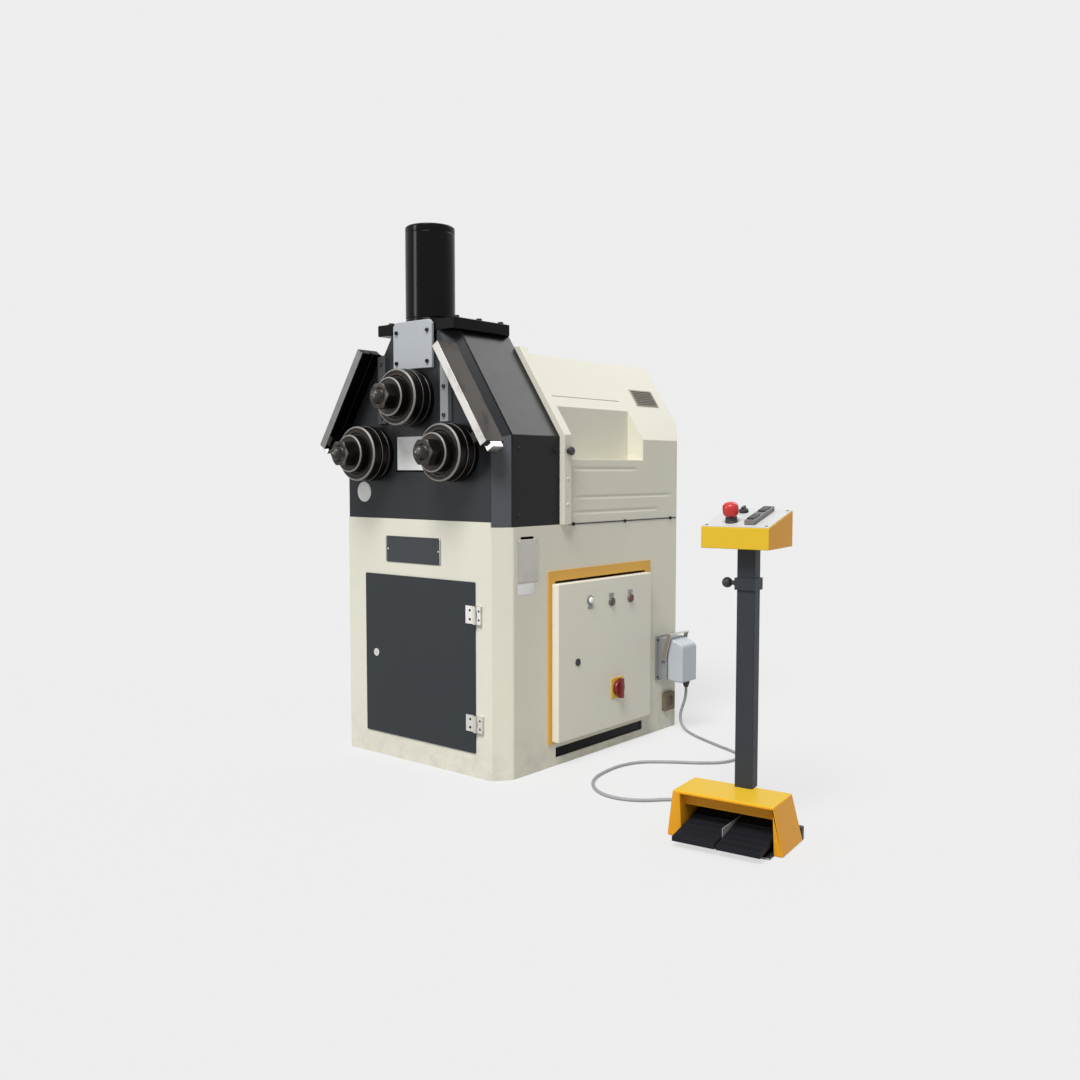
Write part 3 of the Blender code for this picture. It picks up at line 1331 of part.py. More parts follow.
def gearbox_and_motor():
    half = 0.1
    top = LOWER_HEIGHT + half
    foot = 0.02
    waist = LOWER_HEIGHT - half
    outline = [
        (half + 2 * foot, HEAD_BOTTOM),
        (half + 2 * foot, HEAD_BOTTOM + foot),
        (half, HEAD_BOTTOM + 2 * foot),
        (half, top - foot),
        (half - foot, top),
    ]
    outline += [(-x, z) for x, z in reversed(outline)]
    housing = prism(outline, "Y", GEARBOX_FRONT, GEARBOX_BACK)
    bore_end = GEARBOX_FRONT + 3 * PINION_SHAFT
    bore = cylinder((0, GEARBOX_FRONT - OVERRUN, LOWER_HEIGHT), (0, bore_end, LOWER_HEIGHT), PINION_SHAFT + RUNNING)
    cut(housing, bore)
    window = box((-half / 2, GEARBOX_FRONT - OVERRUN, HEAD_BOTTOM + 2 * foot), (half / 2, GEARBOX_BACK + OVERRUN, waist))
    cut(housing, window)
    body = 0.078
    flange = 0.09
    cowl = 0.083
    length = MOTOR_BACK - GEARBOX_BACK
    profile = [
        (0, length),
        (0.8 * cowl, length),
        (cowl, length - foot),
        (cowl, 0.75 * length),
        (body, 0.75 * length),
        (body, foot),
        (flange, foot),
        (flange, -foot),
        (0, -foot),
    ]
    join(housing, turned(profile, (0, GEARBOX_BACK, LOWER_HEIGHT), (0, 1, 0), sides=24))
    part(housing, "gear_motor", "cast_iron")


# Rear hood
def rear_hood():
    start = HEAD_BACK + GAP
    hood = prism(gable(0, HEAD_BOTTOM, HOOD_TOP), "Y", start, BACK)
    combine(hood, prism(plan(), "Z", HEAD_BOTTOM - OVERRUN, HEAD_TOP), "INTERSECT")
    rim_end = start + HOOD_RIM_DEPTH
    join(hood, prism(gable(-HOOD_RIM, HEAD_BOTTOM, HOOD_TOP + HOOD_RIM), "Y", start, rim_end))
    inner = prism(gable(HOOD_SHEET, HEAD_BOTTOM - OVERRUN, HOOD_TOP - HOOD_SHEET), "Y", start - OVERRUN, BACK - HOOD_SHEET)
    combine(inner, prism(plan(HOOD_SHEET), "Z", HEAD_BOTTOM - 2 * OVERRUN, HEAD_TOP), "INTERSECT")
    for side in (-1, 1):
        wall = sorted((side * (RECESS_SIDE - HOOD_SHEET), side * (SIDE + OVERRUN)))
        low = (wall[0], rim_end - HOOD_SHEET, RECESS_FLOOR - HOOD_SHEET)
        cut(inner, box(low, (wall[1], RECESS_BACK + HOOD_SHEET, HEAD_TOP)))
        face = sorted((side * RECESS_SIDE, side * (SIDE + 2 * OVERRUN)))
        cut(hood, box((face[0], rim_end, RECESS_FLOOR), (face[1], RECESS_BACK, HEAD_TOP + OVERRUN)))
    cut(hood, inner)
    join(hood, vent_plate())
    part(hood, "rear_hood", "cream")


def vent_plate():
    margin = 0.057
    length = 0.143
    drop = 0.088
    height = 0.06
    plate_rear = BACK - margin
    plate_front = plate_rear - length
    high = HOOD_TOP - drop
    low = high - height
    inside = HOOD_SHEET / 2
    corners = [slope_point(1, low, inside), slope_point(1, high, inside)]
    corners += [slope_point(1, high, -inside), slope_point(1, low, -inside)]
    return prism(corners, "Y", plate_front, plate_rear)


KNOB_DROP = 0.045


def hood_knob():
    knob_y = HEAD_BACK + GAP + HOOD_RIM_DEPTH / 2
    knob_z = SHOULDER - KNOB_DROP
    start = (SIDE + HOOD_RIM + GAP, knob_y, knob_z)
    radius = 0.014
    length = 0.02
    profile = [
        (0, length),
        (0.8 * radius, 0.97 * length),
        (radius, 0.8 * length),
        (radius, 0.5 * length),
        (0.6 * radius, 0.35 * length),
        (0.6 * radius, 0),
        (0, 0),
    ]
    part(turned(profile, start, (1, 0, 0), sides=20), "hood_knob", "black_plastic", origin=start)


# Hydraulic unit on the cabinet's floor
def hydraulic_unit():
    floor = SHEET + GAP
    side_room = 0.06
    rear_room = 0.1
    tank_depth = 0.34
    tank_height = 0.256
    width_share = 0.47222
    left = side_room - SIDE
    rear = BACK - rear_room
    width = CABINET_WIDTH * width_share
    low = Vector((left, rear - tank_depth, floor))
    high = Vector((left + width, rear, floor + tank_height))
    tank = box(low, high)
    bevel = tank.modifiers.new("edges", "BEVEL")
    bevel.width = HOOD_SHEET
    bevel.segments = 1
    filler = 0.025
    filler_place = low.x + 2 * filler, low.y + 2 * filler
    start = (*filler_place, high.z - filler / 2)
    join(tank, cylinder(start, (*filler_place, high.z + filler), filler, sides=16))
    radius = 0.075
    height = 0.25
    middle = (low + high) / 2
    profile = [
        (0, height),
        (0.85 * radius, height),
        (radius, 0.93 * height),
        (radius, 0.15 * height),
        (1.2 * radius, 0.15 * height),
        (1.2 * radius, -filler),
        (0, -filler),
    ]
    join(tank, turned(profile, (middle.x, middle.y, high.z), (0, 0, 1), sides=24))
    part(tank, "hydraulic_unit", "graphite")


# Pedestal
def pedestal_frame():
    frame = bpy.data.objects.new("pedestal", None)
    frame.location = (*PEDESTAL_PLACE, 0)
    frame.rotation_euler.z = PEDESTAL_TURN
    bpy.data.collections["ring_roller"].objects.link(frame)
    bpy.context.view_layer.update()
    return frame


def foot_hood(pedestal):
    # Sheet hood over the pedals, wider and deeper at the floor, with an overhanging top
    half_low = 0.154
    half_top = 0.1325
    front_low = -0.073
    front_top = -0.0875
    rear_low = HOOD_REAR_LOW
    rear_top = HOOD_REAR_TOP
    wall = HOOD_WALL
    arch_left = PEDAL_CENTRE - PEDAL_WIDTH - EAR_ROOM
    arch_right = PEDAL_CENTRE + PEDAL_WIDTH + EAR_ROOM
    arch_top = 0.083
    band_depth = 0.02
    lip = 0.008
    from_front = [(-half_low, 0), (half_low, 0), (half_top, HOOD_HEIGHT), (-half_top, HOOD_HEIGHT)]
    from_side = [(front_low, 0), (rear_low, 0), (rear_top, HOOD_HEIGHT), (front_top, HOOD_HEIGHT)]
    hood = prism(from_front, "Y", front_top - OVERRUN, rear_low + OVERRUN)
    combine(hood, prism(from_side, "X", -half_low - OVERRUN, half_low + OVERRUN), "INTERSECT")
    bevel = hood.modifiers.new("edges", "BEVEL")
    bevel.width = 2 * wall
    bevel.segments = 2
    bevel.limit_method = "ANGLE"
    bevel.angle_limit = math.radians(40)
    band_low = (arch_left, front_top - OVERRUN, -OVERRUN)
    cut(hood, box(band_low, (arch_right, front_low + band_depth, HOOD_HEIGHT - lip)))
    room_rear = rear_top - wall
    room_low = (arch_left, front_top - OVERRUN, -OVERRUN)
    cut(hood, box(room_low, (arch_right, room_rear, arch_top)))
    room_front = front_low + band_depth + wall
    cut(hood, box((arch_left, room_front, -OVERRUN), (arch_right, room_rear, HOOD_HEIGHT - wall)))
    pocket_low = front_low + 2 * wall
    for left, right in ((-half_top - wall, arch_left - wall), (arch_right + wall, half_top + wall)):
        pocket = box((left, pocket_low, -OVERRUN), (right, room_rear, arch_top))
        cut(hood, pocket)
    x, z = RELIEF_PLACE
    join(hood, gland((x, REAR_WALL_AT_RELIEF, z), RELIEF_LENGTH, (0, 1, 0)))
    part(hood, "pedestal_hood", "yellow", parent=pedestal)
    return arch_left, arch_right


def foot_switch(pedestal, arch_left, arch_right):
    base_left = arch_left + GAP
    base_right = arch_right - GAP
    base_front = -0.1
    base_rear = HOOD_REAR_TOP - HOOD_WALL - GAP
    thickness = 0.005
    pivot_y, pivot_z = PEDAL_PIVOT
    pin = 0.003
    ear_height = pivot_z + 3 * pin
    ear_half = 2.5 * pin
    gap = 0.004
    base = box((base_left, base_front, 0), (base_right, base_rear, thickness))
    half = PEDAL_WIDTH + gap / 2
    ears = [
        (base_left, PEDAL_CENTRE - half - GAP),
        (PEDAL_CENTRE + half + GAP, base_right),
    ]
    for left, right in ears:
        low = (left, pivot_y - ear_half, thickness / 2)
        join(base, box(low, (right, pivot_y + ear_half, ear_height)))
    start = (base_left + pin, pivot_y, pivot_z)
    join(base, cylinder(start, (base_right - pin, pivot_y, pivot_z), pin, sides=12))
    divider_half = gap / 4
    divider_low = (PEDAL_CENTRE - divider_half, base_front, thickness / 2)
    join(base, box(divider_low, (PEDAL_CENTRE + divider_half, pivot_y - ear_half, ear_height)))
    part(base, "foot_switch_base", "black_plastic", parent=pedestal)

    depth = 0.012
    front_bottom = 0.016
    rear_bottom = pivot_z - depth
    tread = 0.003
    for name, side in (("left", -1), ("right", 1)):
        near = PEDAL_CENTRE + side * gap / 2
        far = near + side * PEDAL_WIDTH
        xs = sorted((near, far))
        outline = [
            (PEDAL_FRONT, front_bottom),
            (pivot_y - 2 * depth, rear_bottom),
            (pivot_y, pivot_z - depth),
            (pivot_y + depth, pivot_z - depth / 2),
            (pivot_y + depth, pivot_z + depth / 2),
            (pivot_y, pivot_z + depth),
            (pivot_y - 2 * depth, rear_bottom + 1.5 * depth),
            (PEDAL_FRONT, front_bottom + depth),
        ]
        pedal = prism(outline, "X", *xs)
        bore = cylinder((-half - OVERRUN, pivot_y, pivot_z), (half + OVERRUN, pivot_y, pivot_z), pin + RUNNING, sides=12)
        cut(pedal, bore)
        for i in range(5):
            share = (i + 0.5) / 5
            y = PEDAL_FRONT + share * (pivot_y - 3 * depth - PEDAL_FRONT)
            rise = (rear_bottom + depth / 2 - front_bottom) / (pivot_y - 2 * depth - PEDAL_FRONT)
            z = front_bottom + depth + (y - PEDAL_FRONT) * rise
            ridge_low = (xs[0] + tread, y - tread / 2, z - tread)
            join(pedal, box(ridge_low, (xs[1] - tread, y + tread / 2, z + tread)))
        part(pedal, f"pedal_{name}", "black_plastic", origin=(near, pivot_y, pivot_z), parent=pedestal)


def column(pedestal):
    x, y = COLUMN_PLACE
    half_width = COLUMN_WIDTH / 2
    half_depth = COLUMN_DEPTH / 2
    corner = 0.004
    outline = rounded(rectangle(x - half_width, x + half_width, y - half_depth, y + half_depth), corner, steps=2)
    wall = COLUMN_WALL
    inner = rectangle(
        x - half_width + wall, x + half_width - wall, y - half_depth + wall, y + half_depth - wall
    )
    start = HOOD_HEIGHT + GAP
    tube = prism(outline, "Z", start, CONSOLE_BOTTOM - GAP, holes=(inner,))

    collar_height = 0.03
    collar_wall = 0.004
    collar_middle = 0.642
    around = rectangle(
        x - half_width - collar_wall, x + half_width + collar_wall,
        y - half_depth - collar_wall, y + half_depth + collar_wall,
    )
    low = collar_middle - collar_height / 2
    join(tube, prism(around, "Z", low, low + collar_height, holes=(inner,)))
    boss = 0.009
    boss_length = 0.008
    boss_start = (x - half_width - collar_wall / 2, y, collar_middle)
    boss_end = (x - half_width - collar_wall - boss_length, y, collar_middle)
    join(tube, cylinder(boss_start, boss_end, boss, sides=16))
    part(tube, "pedestal_column", "graphite", parent=pedestal)
    knob_start = (boss_end[0] - GAP, y, collar_middle)
    ball = 0.0135
    stem = 0.006
    stem_length = 0.006
    profile = []
    for i in range(7):
        angle = math.radians(90 - 25 * i)
        profile.append((ball * math.cos(angle), stem_length + ball + ball * math.sin(angle)))
    profile = [(abs(r), h) for r, h in profile if h > stem_length]
    profile[0] = (0, stem_length + 2 * ball)
    profile += [(stem, stem_length), (stem, 0), (0, 0)]
    knob = turned(profile, knob_start, (-1, 0, 0), sides=16)
    part(knob, "column_knob", "black_plastic", origin=knob_start, parent=pedestal)


def console_slope():
    return (CONSOLE_HIGH - CONSOLE_LOW) / (CONSOLE_REAR - CONSOLE_FRONT)


def console(pedestal):
    half = CONSOLE_WIDTH / 2
    outline = [
        (CONSOLE_FRONT, CONSOLE_BOTTOM),
        (CONSOLE_REAR, CONSOLE_BOTTOM),
        (CONSOLE_REAR, CONSOLE_HIGH),
        (CONSOLE_FRONT, CONSOLE_LOW),
    ]
    case = prism(outline, "X", -half, half)
    wall = CONSOLE_WALL
    room = [
        (CONSOLE_FRONT + wall, CONSOLE_BOTTOM + wall),
        (CONSOLE_REAR - wall, CONSOLE_BOTTOM + wall),
        (CONSOLE_REAR - wall, CONSOLE_HIGH + OVERRUN),
        (CONSOLE_FRONT + wall, CONSOLE_LOW + OVERRUN),
    ]
    cut(case, prism(room, "X", -half + wall, half - wall))
    part(case, "console_case", "yellow", parent=pedestal)

    rise = console_slope()
    edge = wall / 2
    front = CONSOLE_FRONT + edge
    rear = CONSOLE_REAR - edge
    front_height = CONSOLE_LOW + GAP + edge * rise
    rear_height = CONSOLE_HIGH + GAP - edge * rise
    plate = [
        (front, front_height),
        (rear, rear_height),
        (rear, rear_height + PANEL_THICKNESS),
        (front, front_height + PANEL_THICKNESS),
    ]
    panel = prism(plate, "X", -half + edge, half - edge)
    shaft = 0.007
    estop = (-0.024, 0.015)
    selector = (-0.029, 0.108)
    up = Vector((0, -math.sin(math.atan(rise)), math.cos(math.atan(rise))))

    def on_panel(x, y):
        height = CONSOLE_LOW + GAP + PANEL_THICKNESS + (y - CONSOLE_FRONT) * rise
        return Vector((x, y, height)) + up * 2 * GAP

    collar = 0.0145
    collar_height = 0.012
    depth = -0.02
    for centre in (estop, selector):
        place = on_panel(*centre)
        if centre is estop:
            join(panel, cylinder(place - up * PANEL_THICKNESS, place + up * collar_height, collar))
        cut(panel, cylinder(place + up * depth, place - up * depth, shaft))
    part(panel, "console_panel", "light_grey", parent=pedestal)
    place = on_panel(*estop)
    cap = 0.02
    travel = 0.005
    low = collar_height + travel
    cap_height = 0.024
    stem = shaft - RUNNING
    profile = [
        (0, low + cap_height),
        (0.7 * cap, low + 0.95 * cap_height),
        (cap, low + 0.7 * cap_height),
        (cap, low + 0.25 * cap_height),
        (0.75 * cap, low),
        (stem, low),
        (stem, depth),
        (0, depth),
    ]
    button = turned(profile, place, up, sides=24)
    part(button, "estop_button", "red", origin=place, parent=pedestal)

    knob = 0.0125
    knob_height = 0.016
    place = on_panel(*selector)
    profile = [(0, knob_height), (0.85 * knob, knob_height), (knob, 0.8 * knob_height), (knob, 0)]
    profile += [(stem, 0), (stem, depth), (0, depth)]
    part(turned(profile, place, up, sides=20), "selector_knob", "black_plastic", origin=place, parent=pedestal)

    block_left = 0.018
    block_right = 0.046
    block_front = -0.008
    block_rear = 0.128
    block_height = 0.012
    low_front = on_panel(0, block_front)
    low_rear = on_panel(0, block_rear)
    shape = [
        (low_front.y, low_front.z),
        (low_rear.y, low_rear.z),
        (low_rear.y, low_rear.z + block_height),
        (low_front.y, low_front.z + block_height),
    ]
    part(prism(shape, "X", block_left, block_right), "console_block", "cable_grey", parent=pedestal)


def build():
    clear_scene()
    base_cabinet()
    door_plates()
    front_door()
    front_door_lock()
    front_hinges()
    electrical_box()
    electrical_door()
    door_buttons()
    tray_lock()
    main_switch()
    switchgear()
    connector()
    hydraulic_unit()
    head_frame()
    head_cover()
    rear_bearing_plate()
    cap_plate()
    cylinder_and_rod()
    top_slide()
    slide_cover_plate()
    side_guides()
    rear_end = REAR_PLATE_BACK
    gear_end = GEAR_FRONT + GEAR_WIDTH
    stacks = (
        ("top", 0, TOP_HEIGHT, rear_end, None, 0),
        ("lower_left", -LOWER_SPREAD, LOWER_HEIGHT, gear_end, gear_end - rear_end - GAP, LOWER_SPIGOT_LENGTH),
        ("lower_right", LOWER_SPREAD, LOWER_HEIGHT, gear_end, gear_end - rear_end - GAP, LOWER_SPIGOT_LENGTH),
    )
    for name, x, z, rear, tail, spigot_length in stacks:
        bearing_flange(f"{name}_bearing_flange", x, z, spigot_length)
        roll(f"{name}_roll", x, z)
        lock_nut(f"{name}_lock_nut", x, z)
        shaft(f"{name}_shaft", x, z, rear, tail)
    gear_train()
    gearbox_and_motor()
    rear_hood()
    hood_knob()
    pedestal = pedestal_frame()
    arch = foot_hood(pedestal)
    foot_switch(pedestal, *arch)
    column(pedestal)
    console(pedestal)
    control_cable(pedestal)


build()
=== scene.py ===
# Ring roller on its steel cabinet, with the foot pedestal: finishes, small parts, light and camera
import json
import math

import bmesh
import bpy
import numpy as np
from mathutils import Matrix, Vector

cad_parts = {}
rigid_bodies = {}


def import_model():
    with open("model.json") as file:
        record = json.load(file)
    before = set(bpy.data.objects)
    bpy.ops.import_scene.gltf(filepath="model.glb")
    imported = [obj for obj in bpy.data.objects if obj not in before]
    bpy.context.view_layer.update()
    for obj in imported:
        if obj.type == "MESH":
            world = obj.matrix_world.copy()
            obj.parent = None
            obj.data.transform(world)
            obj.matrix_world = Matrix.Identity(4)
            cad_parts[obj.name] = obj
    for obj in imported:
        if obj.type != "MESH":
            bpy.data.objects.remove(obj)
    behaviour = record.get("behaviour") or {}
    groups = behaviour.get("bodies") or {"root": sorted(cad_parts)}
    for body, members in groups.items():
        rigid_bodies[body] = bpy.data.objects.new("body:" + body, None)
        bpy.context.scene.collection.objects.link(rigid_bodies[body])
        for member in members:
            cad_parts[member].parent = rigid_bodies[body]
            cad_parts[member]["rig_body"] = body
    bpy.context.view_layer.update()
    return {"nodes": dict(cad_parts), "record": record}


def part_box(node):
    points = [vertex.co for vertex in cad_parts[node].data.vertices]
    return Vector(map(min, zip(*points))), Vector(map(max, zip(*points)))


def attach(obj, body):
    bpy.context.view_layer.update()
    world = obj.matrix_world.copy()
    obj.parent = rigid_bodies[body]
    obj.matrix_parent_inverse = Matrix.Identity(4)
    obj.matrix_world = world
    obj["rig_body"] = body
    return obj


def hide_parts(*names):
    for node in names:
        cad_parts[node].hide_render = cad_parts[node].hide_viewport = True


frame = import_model()
nodes = frame["nodes"]
tau = 2 * math.pi
gap = 0.0003

# camera and cord come first
viewpoint = {"place": (2.400, -2.7765, 0.925), "tilt": 86.216, "heading": 39.74, "lens": 35.07}


def placeCamera():
    camera = bpy.data.objects.new("camera", bpy.data.cameras.new("camera"))
    camera.location = viewpoint["place"]
    camera.rotation_euler = (math.radians(viewpoint["tilt"]), 0, math.radians(viewpoint["heading"]))
    camera.data.lens = viewpoint["lens"]
    camera.data.sensor_width = 36
    camera.data.clip_end = 200
    bpy.context.scene.collection.objects.link(camera)
    bpy.context.scene.camera = camera


placeCamera()


# Mesh making
def gridQuads(rows, columns, loopRows=False, loopColumns=True):
    # four corners of each cell of a grid whose points are numbered row by row
    r = np.arange(rows if loopRows else rows - 1)[:, None]
    c = np.arange(columns if loopColumns else columns - 1)[None, :]
    nextRow, nextColumn = (r + 1) % rows, (c + 1) % columns
    corners = (r * columns + c, r * columns + nextColumn, nextRow * columns + nextColumn, nextRow * columns + c)
    return np.stack([np.broadcast_to(x, (r.size, c.size)) for x in corners], -1).reshape(-1, 4)


def tidied(mesh, sharp=35):
    # doubles merged, faces out, smooth apart from edges sharper than the angle
    shape = bmesh.new()
    shape.from_mesh(mesh)
    bmesh.ops.remove_doubles(shape, verts=shape.verts, dist=0.000002)
    bmesh.ops.recalc_face_normals(shape, faces=shape.faces)
    shape.to_mesh(mesh)
    shape.free()
    mesh.shade_smooth()
    mesh.set_sharp_from_angle(angle=math.radians(sharp))
    return mesh


def show(name, mesh, body, finish, replaces=()):
    obj = bpy.data.objects.new(name, mesh)
    bpy.context.scene.collection.objects.link(obj)
    for item in finish if isinstance(finish, (list, tuple)) else [finish]:
        mesh.materials.append(item)
    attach(obj, body)
    if replaces:
        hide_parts(*replaces)
    return obj


def lofted(name, rings, capped=True, looped=False, bright=None, uv=None):
    # rings is rows x columns x 3: neighbouring rows are skinned with quads, and the end rows closed with flat caps
    rings = np.asarray(rings, float)
    rows, columns = rings.shape[:2]
    quads = gridQuads(rows, columns, looped, True)
    faces = quads.tolist()
    if capped and not looped:
        faces += [list(range(columns))[::-1], list(range((rows - 1) * columns, rows * columns))]
    mesh = bpy.data.meshes.new(name)
    mesh.from_pydata(rings.reshape(-1, 3).tolist(), [], faces)
    if bright is not None:
        values = np.repeat(np.asarray(bright, np.float32), columns)
        mesh.attributes.new("bright", "FLOAT", "POINT").data.foreach_set("value", values)
    if uv is not None:
        # u runs with the rows and v round the columns, one more at the seam
        along, around = uv
        layer = mesh.uv_layers.new(name="lay")
        cell = np.arange(len(quads))
        r, c = cell // columns, cell % columns
        u = np.stack([along[r], along[r], along[r + 1], along[r + 1]], -1)
        v = np.stack([c, c + 1, c + 1, c], -1) / columns * around
        flat = np.zeros((len(mesh.loops), 2), np.float32)
        flat[: quads.size, 0], flat[: quads.size, 1] = u.ravel(), v.ravel()
        layer.data.foreach_set("uv", flat.ravel())
    return tidied(mesh)


def joinedCopies(name, rings, placings, sharp=35):
    # the same closed loft set down at each placing, as one mesh
    rings = np.asarray(rings, float)
    rows, columns = rings.shape[:2]
    points = np.c_[rings.reshape(-1, 3), np.ones(rows * columns)]
    quads = gridQuads(rows, columns)
    spots, faces = [], []
    for i, placing in enumerate(placings):
        spots.append((points @ np.array(placing).T)[:, :3])
        start = i * rows * columns
        faces += (quads + start).tolist()
        faces += [list(range(start, start + columns))[::-1]]
        faces += [list(range(start + (rows - 1) * columns, start + rows * columns))]
    mesh = bpy.data.meshes.new(name)
    mesh.from_pydata(np.concatenate(spots).tolist(), [], faces)
    return tidied(mesh, sharp)


def softened(corners, reach, steps=4, closed=False):
    # every corner gives way to a parabola that starts and ends reach away along its two edges
    p = np.asarray(corners, float)
    before, after = np.roll(p, 1, 0) - p, np.roll(p, -1, 0) - p
    lengths = [np.linalg.norm(side[:, :2], axis=1, keepdims=True) + 1e-12 for side in (before, after)]
    cut = np.minimum(np.broadcast_to(np.reshape(reach, (-1, 1)), lengths[0].shape), 0.45 * np.minimum(*lengths))
    if not closed:
        cut = cut * np.r_[0, np.ones(len(p) - 2), 0][:, None]
    start, end = p + before / lengths[0] * cut, p + after / lengths[1] * cut
    start[:, 2:], end[:, 2:] = p[:, 2:], p[:, 2:]
    t = np.linspace(0, 1, steps + 1)[None, :, None]
    curve = (1 - t) ** 2 * start[:, None] + 2 * t * (1 - t) * p[:, None] + t**2 * end[:, None]
    return curve.reshape(-1, p.shape[1])


def turnedRings(profile, start, direction, sides=96):
    # each (radius, distance) of the profile becomes a circle round the line from start along direction
    profile = np.asarray(profile, float)
    angle = np.arange(sides) / sides * tau
    radius, along = profile[:, 0, None], profile[:, 1, None] + 0 * angle
    flat = np.stack([radius * np.cos(angle), radius * np.sin(angle), along, np.ones_like(along)], -1)
    turn = Matrix.Translation(start) @ Vector(direction).to_track_quat("Z", "Y").to_matrix().to_4x4()
    return (flat @ np.array(turn).T)[..., :3]


def turned(name, corners, start, direction, reach=0.0006, sides=96, looped=False):
    # corners are (radius, distance, brightness)
    profile = softened(corners, reach, closed=looped)
    rings = turnedRings(profile, start, direction, sides)
    return lofted(name, rings, capped=False, looped=looped, bright=profile[:, 2])


def outlineRings(outline, stations, axis):
    # a plan outline in the two other axes, drawn in by each station's inset and moved to its height along axis.
    # outline(inset) gives the points; stations are (inset, height)
    order = {"X": (2, 1, 0), "Y": (0, 2, 1), "Z": (0, 1, 2)}[axis]  # outlines across X are given as (z, y)
    rings = []
    for inset, height in stations:
        flat = outline(inset)
        rings.append(np.c_[flat, np.full(len(flat), height)][:, order])
    return np.array(rings)


def roundedRectangle(left, right, bottom, top, radius, steps=6):
    def outline(inset):
        box = (left + inset, right - inset, bottom + inset, top - inset)
        r = max(radius - inset, 0.0004)
        a = np.linspace(0, tau / 4, steps + 1)
        arcs = []
        for i, (x, y) in enumerate([(box[1] - r, box[3] - r), (box[0] + r, box[3] - r), (box[0] + r, box[2] + r),
            (box[1] - r, box[2] + r)]):
            arcs.append(np.c_[x + r * np.cos(a + i * tau / 4), y + r * np.sin(a + i * tau / 4)])
        return np.concatenate(arcs)

    return outline


def edgeStations(low, high, radius, steps=4):
    # from low up to high, with the far rim rounded off
    a = np.linspace(0, tau / 4, steps + 1)
    way = 1 if high > low else -1
    rim = [(radius * (1 - math.cos(x)), high - way * radius * (1 - math.sin(x))) for x in a]
    return [(0, low)] + rim


def plate(name, rectangle, heights, axis, corner, edge, body, finish, replaces=()):
    # a flat plate with rounded corners and a rounded front rim
    rings = outlineRings(roundedRectangle(*rectangle, corner), edgeStations(*heights, edge), axis)
    return show(name, lofted(name, rings), body, finish, replaces)


def softCopy(node, name, width, finish, tints=(), segments=2, angle=32, carve=(), turn=None):
    # the CAD node's shape with its edges rounded; tints are (material number, lowest corner, highest corner)
    shape = bmesh.new()
    shape.from_mesh(nodes[node].data)
    bmesh.ops.remove_doubles(shape, verts=shape.verts, dist=0.000003)
    flat = math.radians(0.4)
    bmesh.ops.dissolve_limit(shape, angle_limit=flat, verts=shape.verts, edges=shape.edges)
    mesh = bpy.data.meshes.new(name)
    shape.to_mesh(mesh)
    shape.free()
    mesh.materials.clear()
    for extra in [x.name for x in mesh.attributes if x.name in ("custom_normal", "sharp_edge", "sharp_face", "UVMap")]:
        mesh.attributes.remove(mesh.attributes[extra])
    if len(carve):
        mesh = carved(mesh, carve)
    mesh.shade_smooth()
    mesh.set_sharp_from_angle(angle=math.radians(angle))
    obj = show(name, mesh, nodes[node]["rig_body"], finish, (node,))
    indices = np.zeros(len(mesh.polygons), np.int32)
    centres = np.zeros(len(mesh.polygons) * 3)
    mesh.polygons.foreach_get("center", centres)
    centres = centres.reshape(-1, 3)
    if turn:
        back = np.array(turn.inverted())
        centres = centres @ back[:3, :3].T + back[:3, 3]
    for number, low, high in tints:
        inside = np.all((centres > np.array(low)) & (centres < np.array(high)), axis=1)
        indices[inside] = number
    mesh.polygons.foreach_set("material_index", indices)
    if width:
        bevel = obj.modifiers.new("edges", "BEVEL")
        bevel.width = width
        bevel.segments = segments
        bevel.limit_method = "ANGLE"
        bevel.angle_limit = math.radians(angle)
    level = obj.modifiers.new("broadFaces", "WEIGHTED_NORMAL")  # broad faces keep their own normal
    level.keep_sharp = True
    level.weight = 100
    return obj


def carved(mesh, cutters):
    # the mesh with each closed cutter mesh taken out of it
    block = bpy.data.objects.new("block", mesh)
    bpy.context.scene.collection.objects.link(block)
    tools = []
    for cutter in cutters:
        tool = bpy.data.objects.new("cutter", cutter)
        bpy.context.scene.collection.objects.link(tool)
        modifier = block.modifiers.new("cut", "BOOLEAN")
        modifier.operation = "DIFFERENCE"
        modifier.solver = "EXACT"
        modifier.object = tool
        tools.append(tool)
    graph = bpy.context.evaluated_depsgraph_get()
    result = bpy.data.meshes.new_from_object(block.evaluated_get(graph))
    for obj in [block, *tools]:
        bpy.data.objects.remove(obj, do_unlink=True)
    shape = bmesh.new()
    shape.from_mesh(result)
    bmesh.ops.remove_doubles(shape, verts=shape.verts, dist=0.000003)
    bmesh.ops.dissolve_limit(shape, angle_limit=math.radians(0.4), verts=shape.verts, edges=shape.edges)
    shape.to_mesh(result)
    shape.free()
    return result


def boxRings(low, high):
    # a plain box as two four-point rings
    (x0, y0, z0), (x1, y1, z1) = low, high
    ring = np.array([(x0, y0), (x1, y0), (x1, y1), (x0, y1)])
    return np.stack([np.c_[ring, np.full(4, z)] for z in (z0, z1)])


for row in frame["record"]["subparts"]:
    nodes[row["node"]]["slotName"] = row["material_slot"]


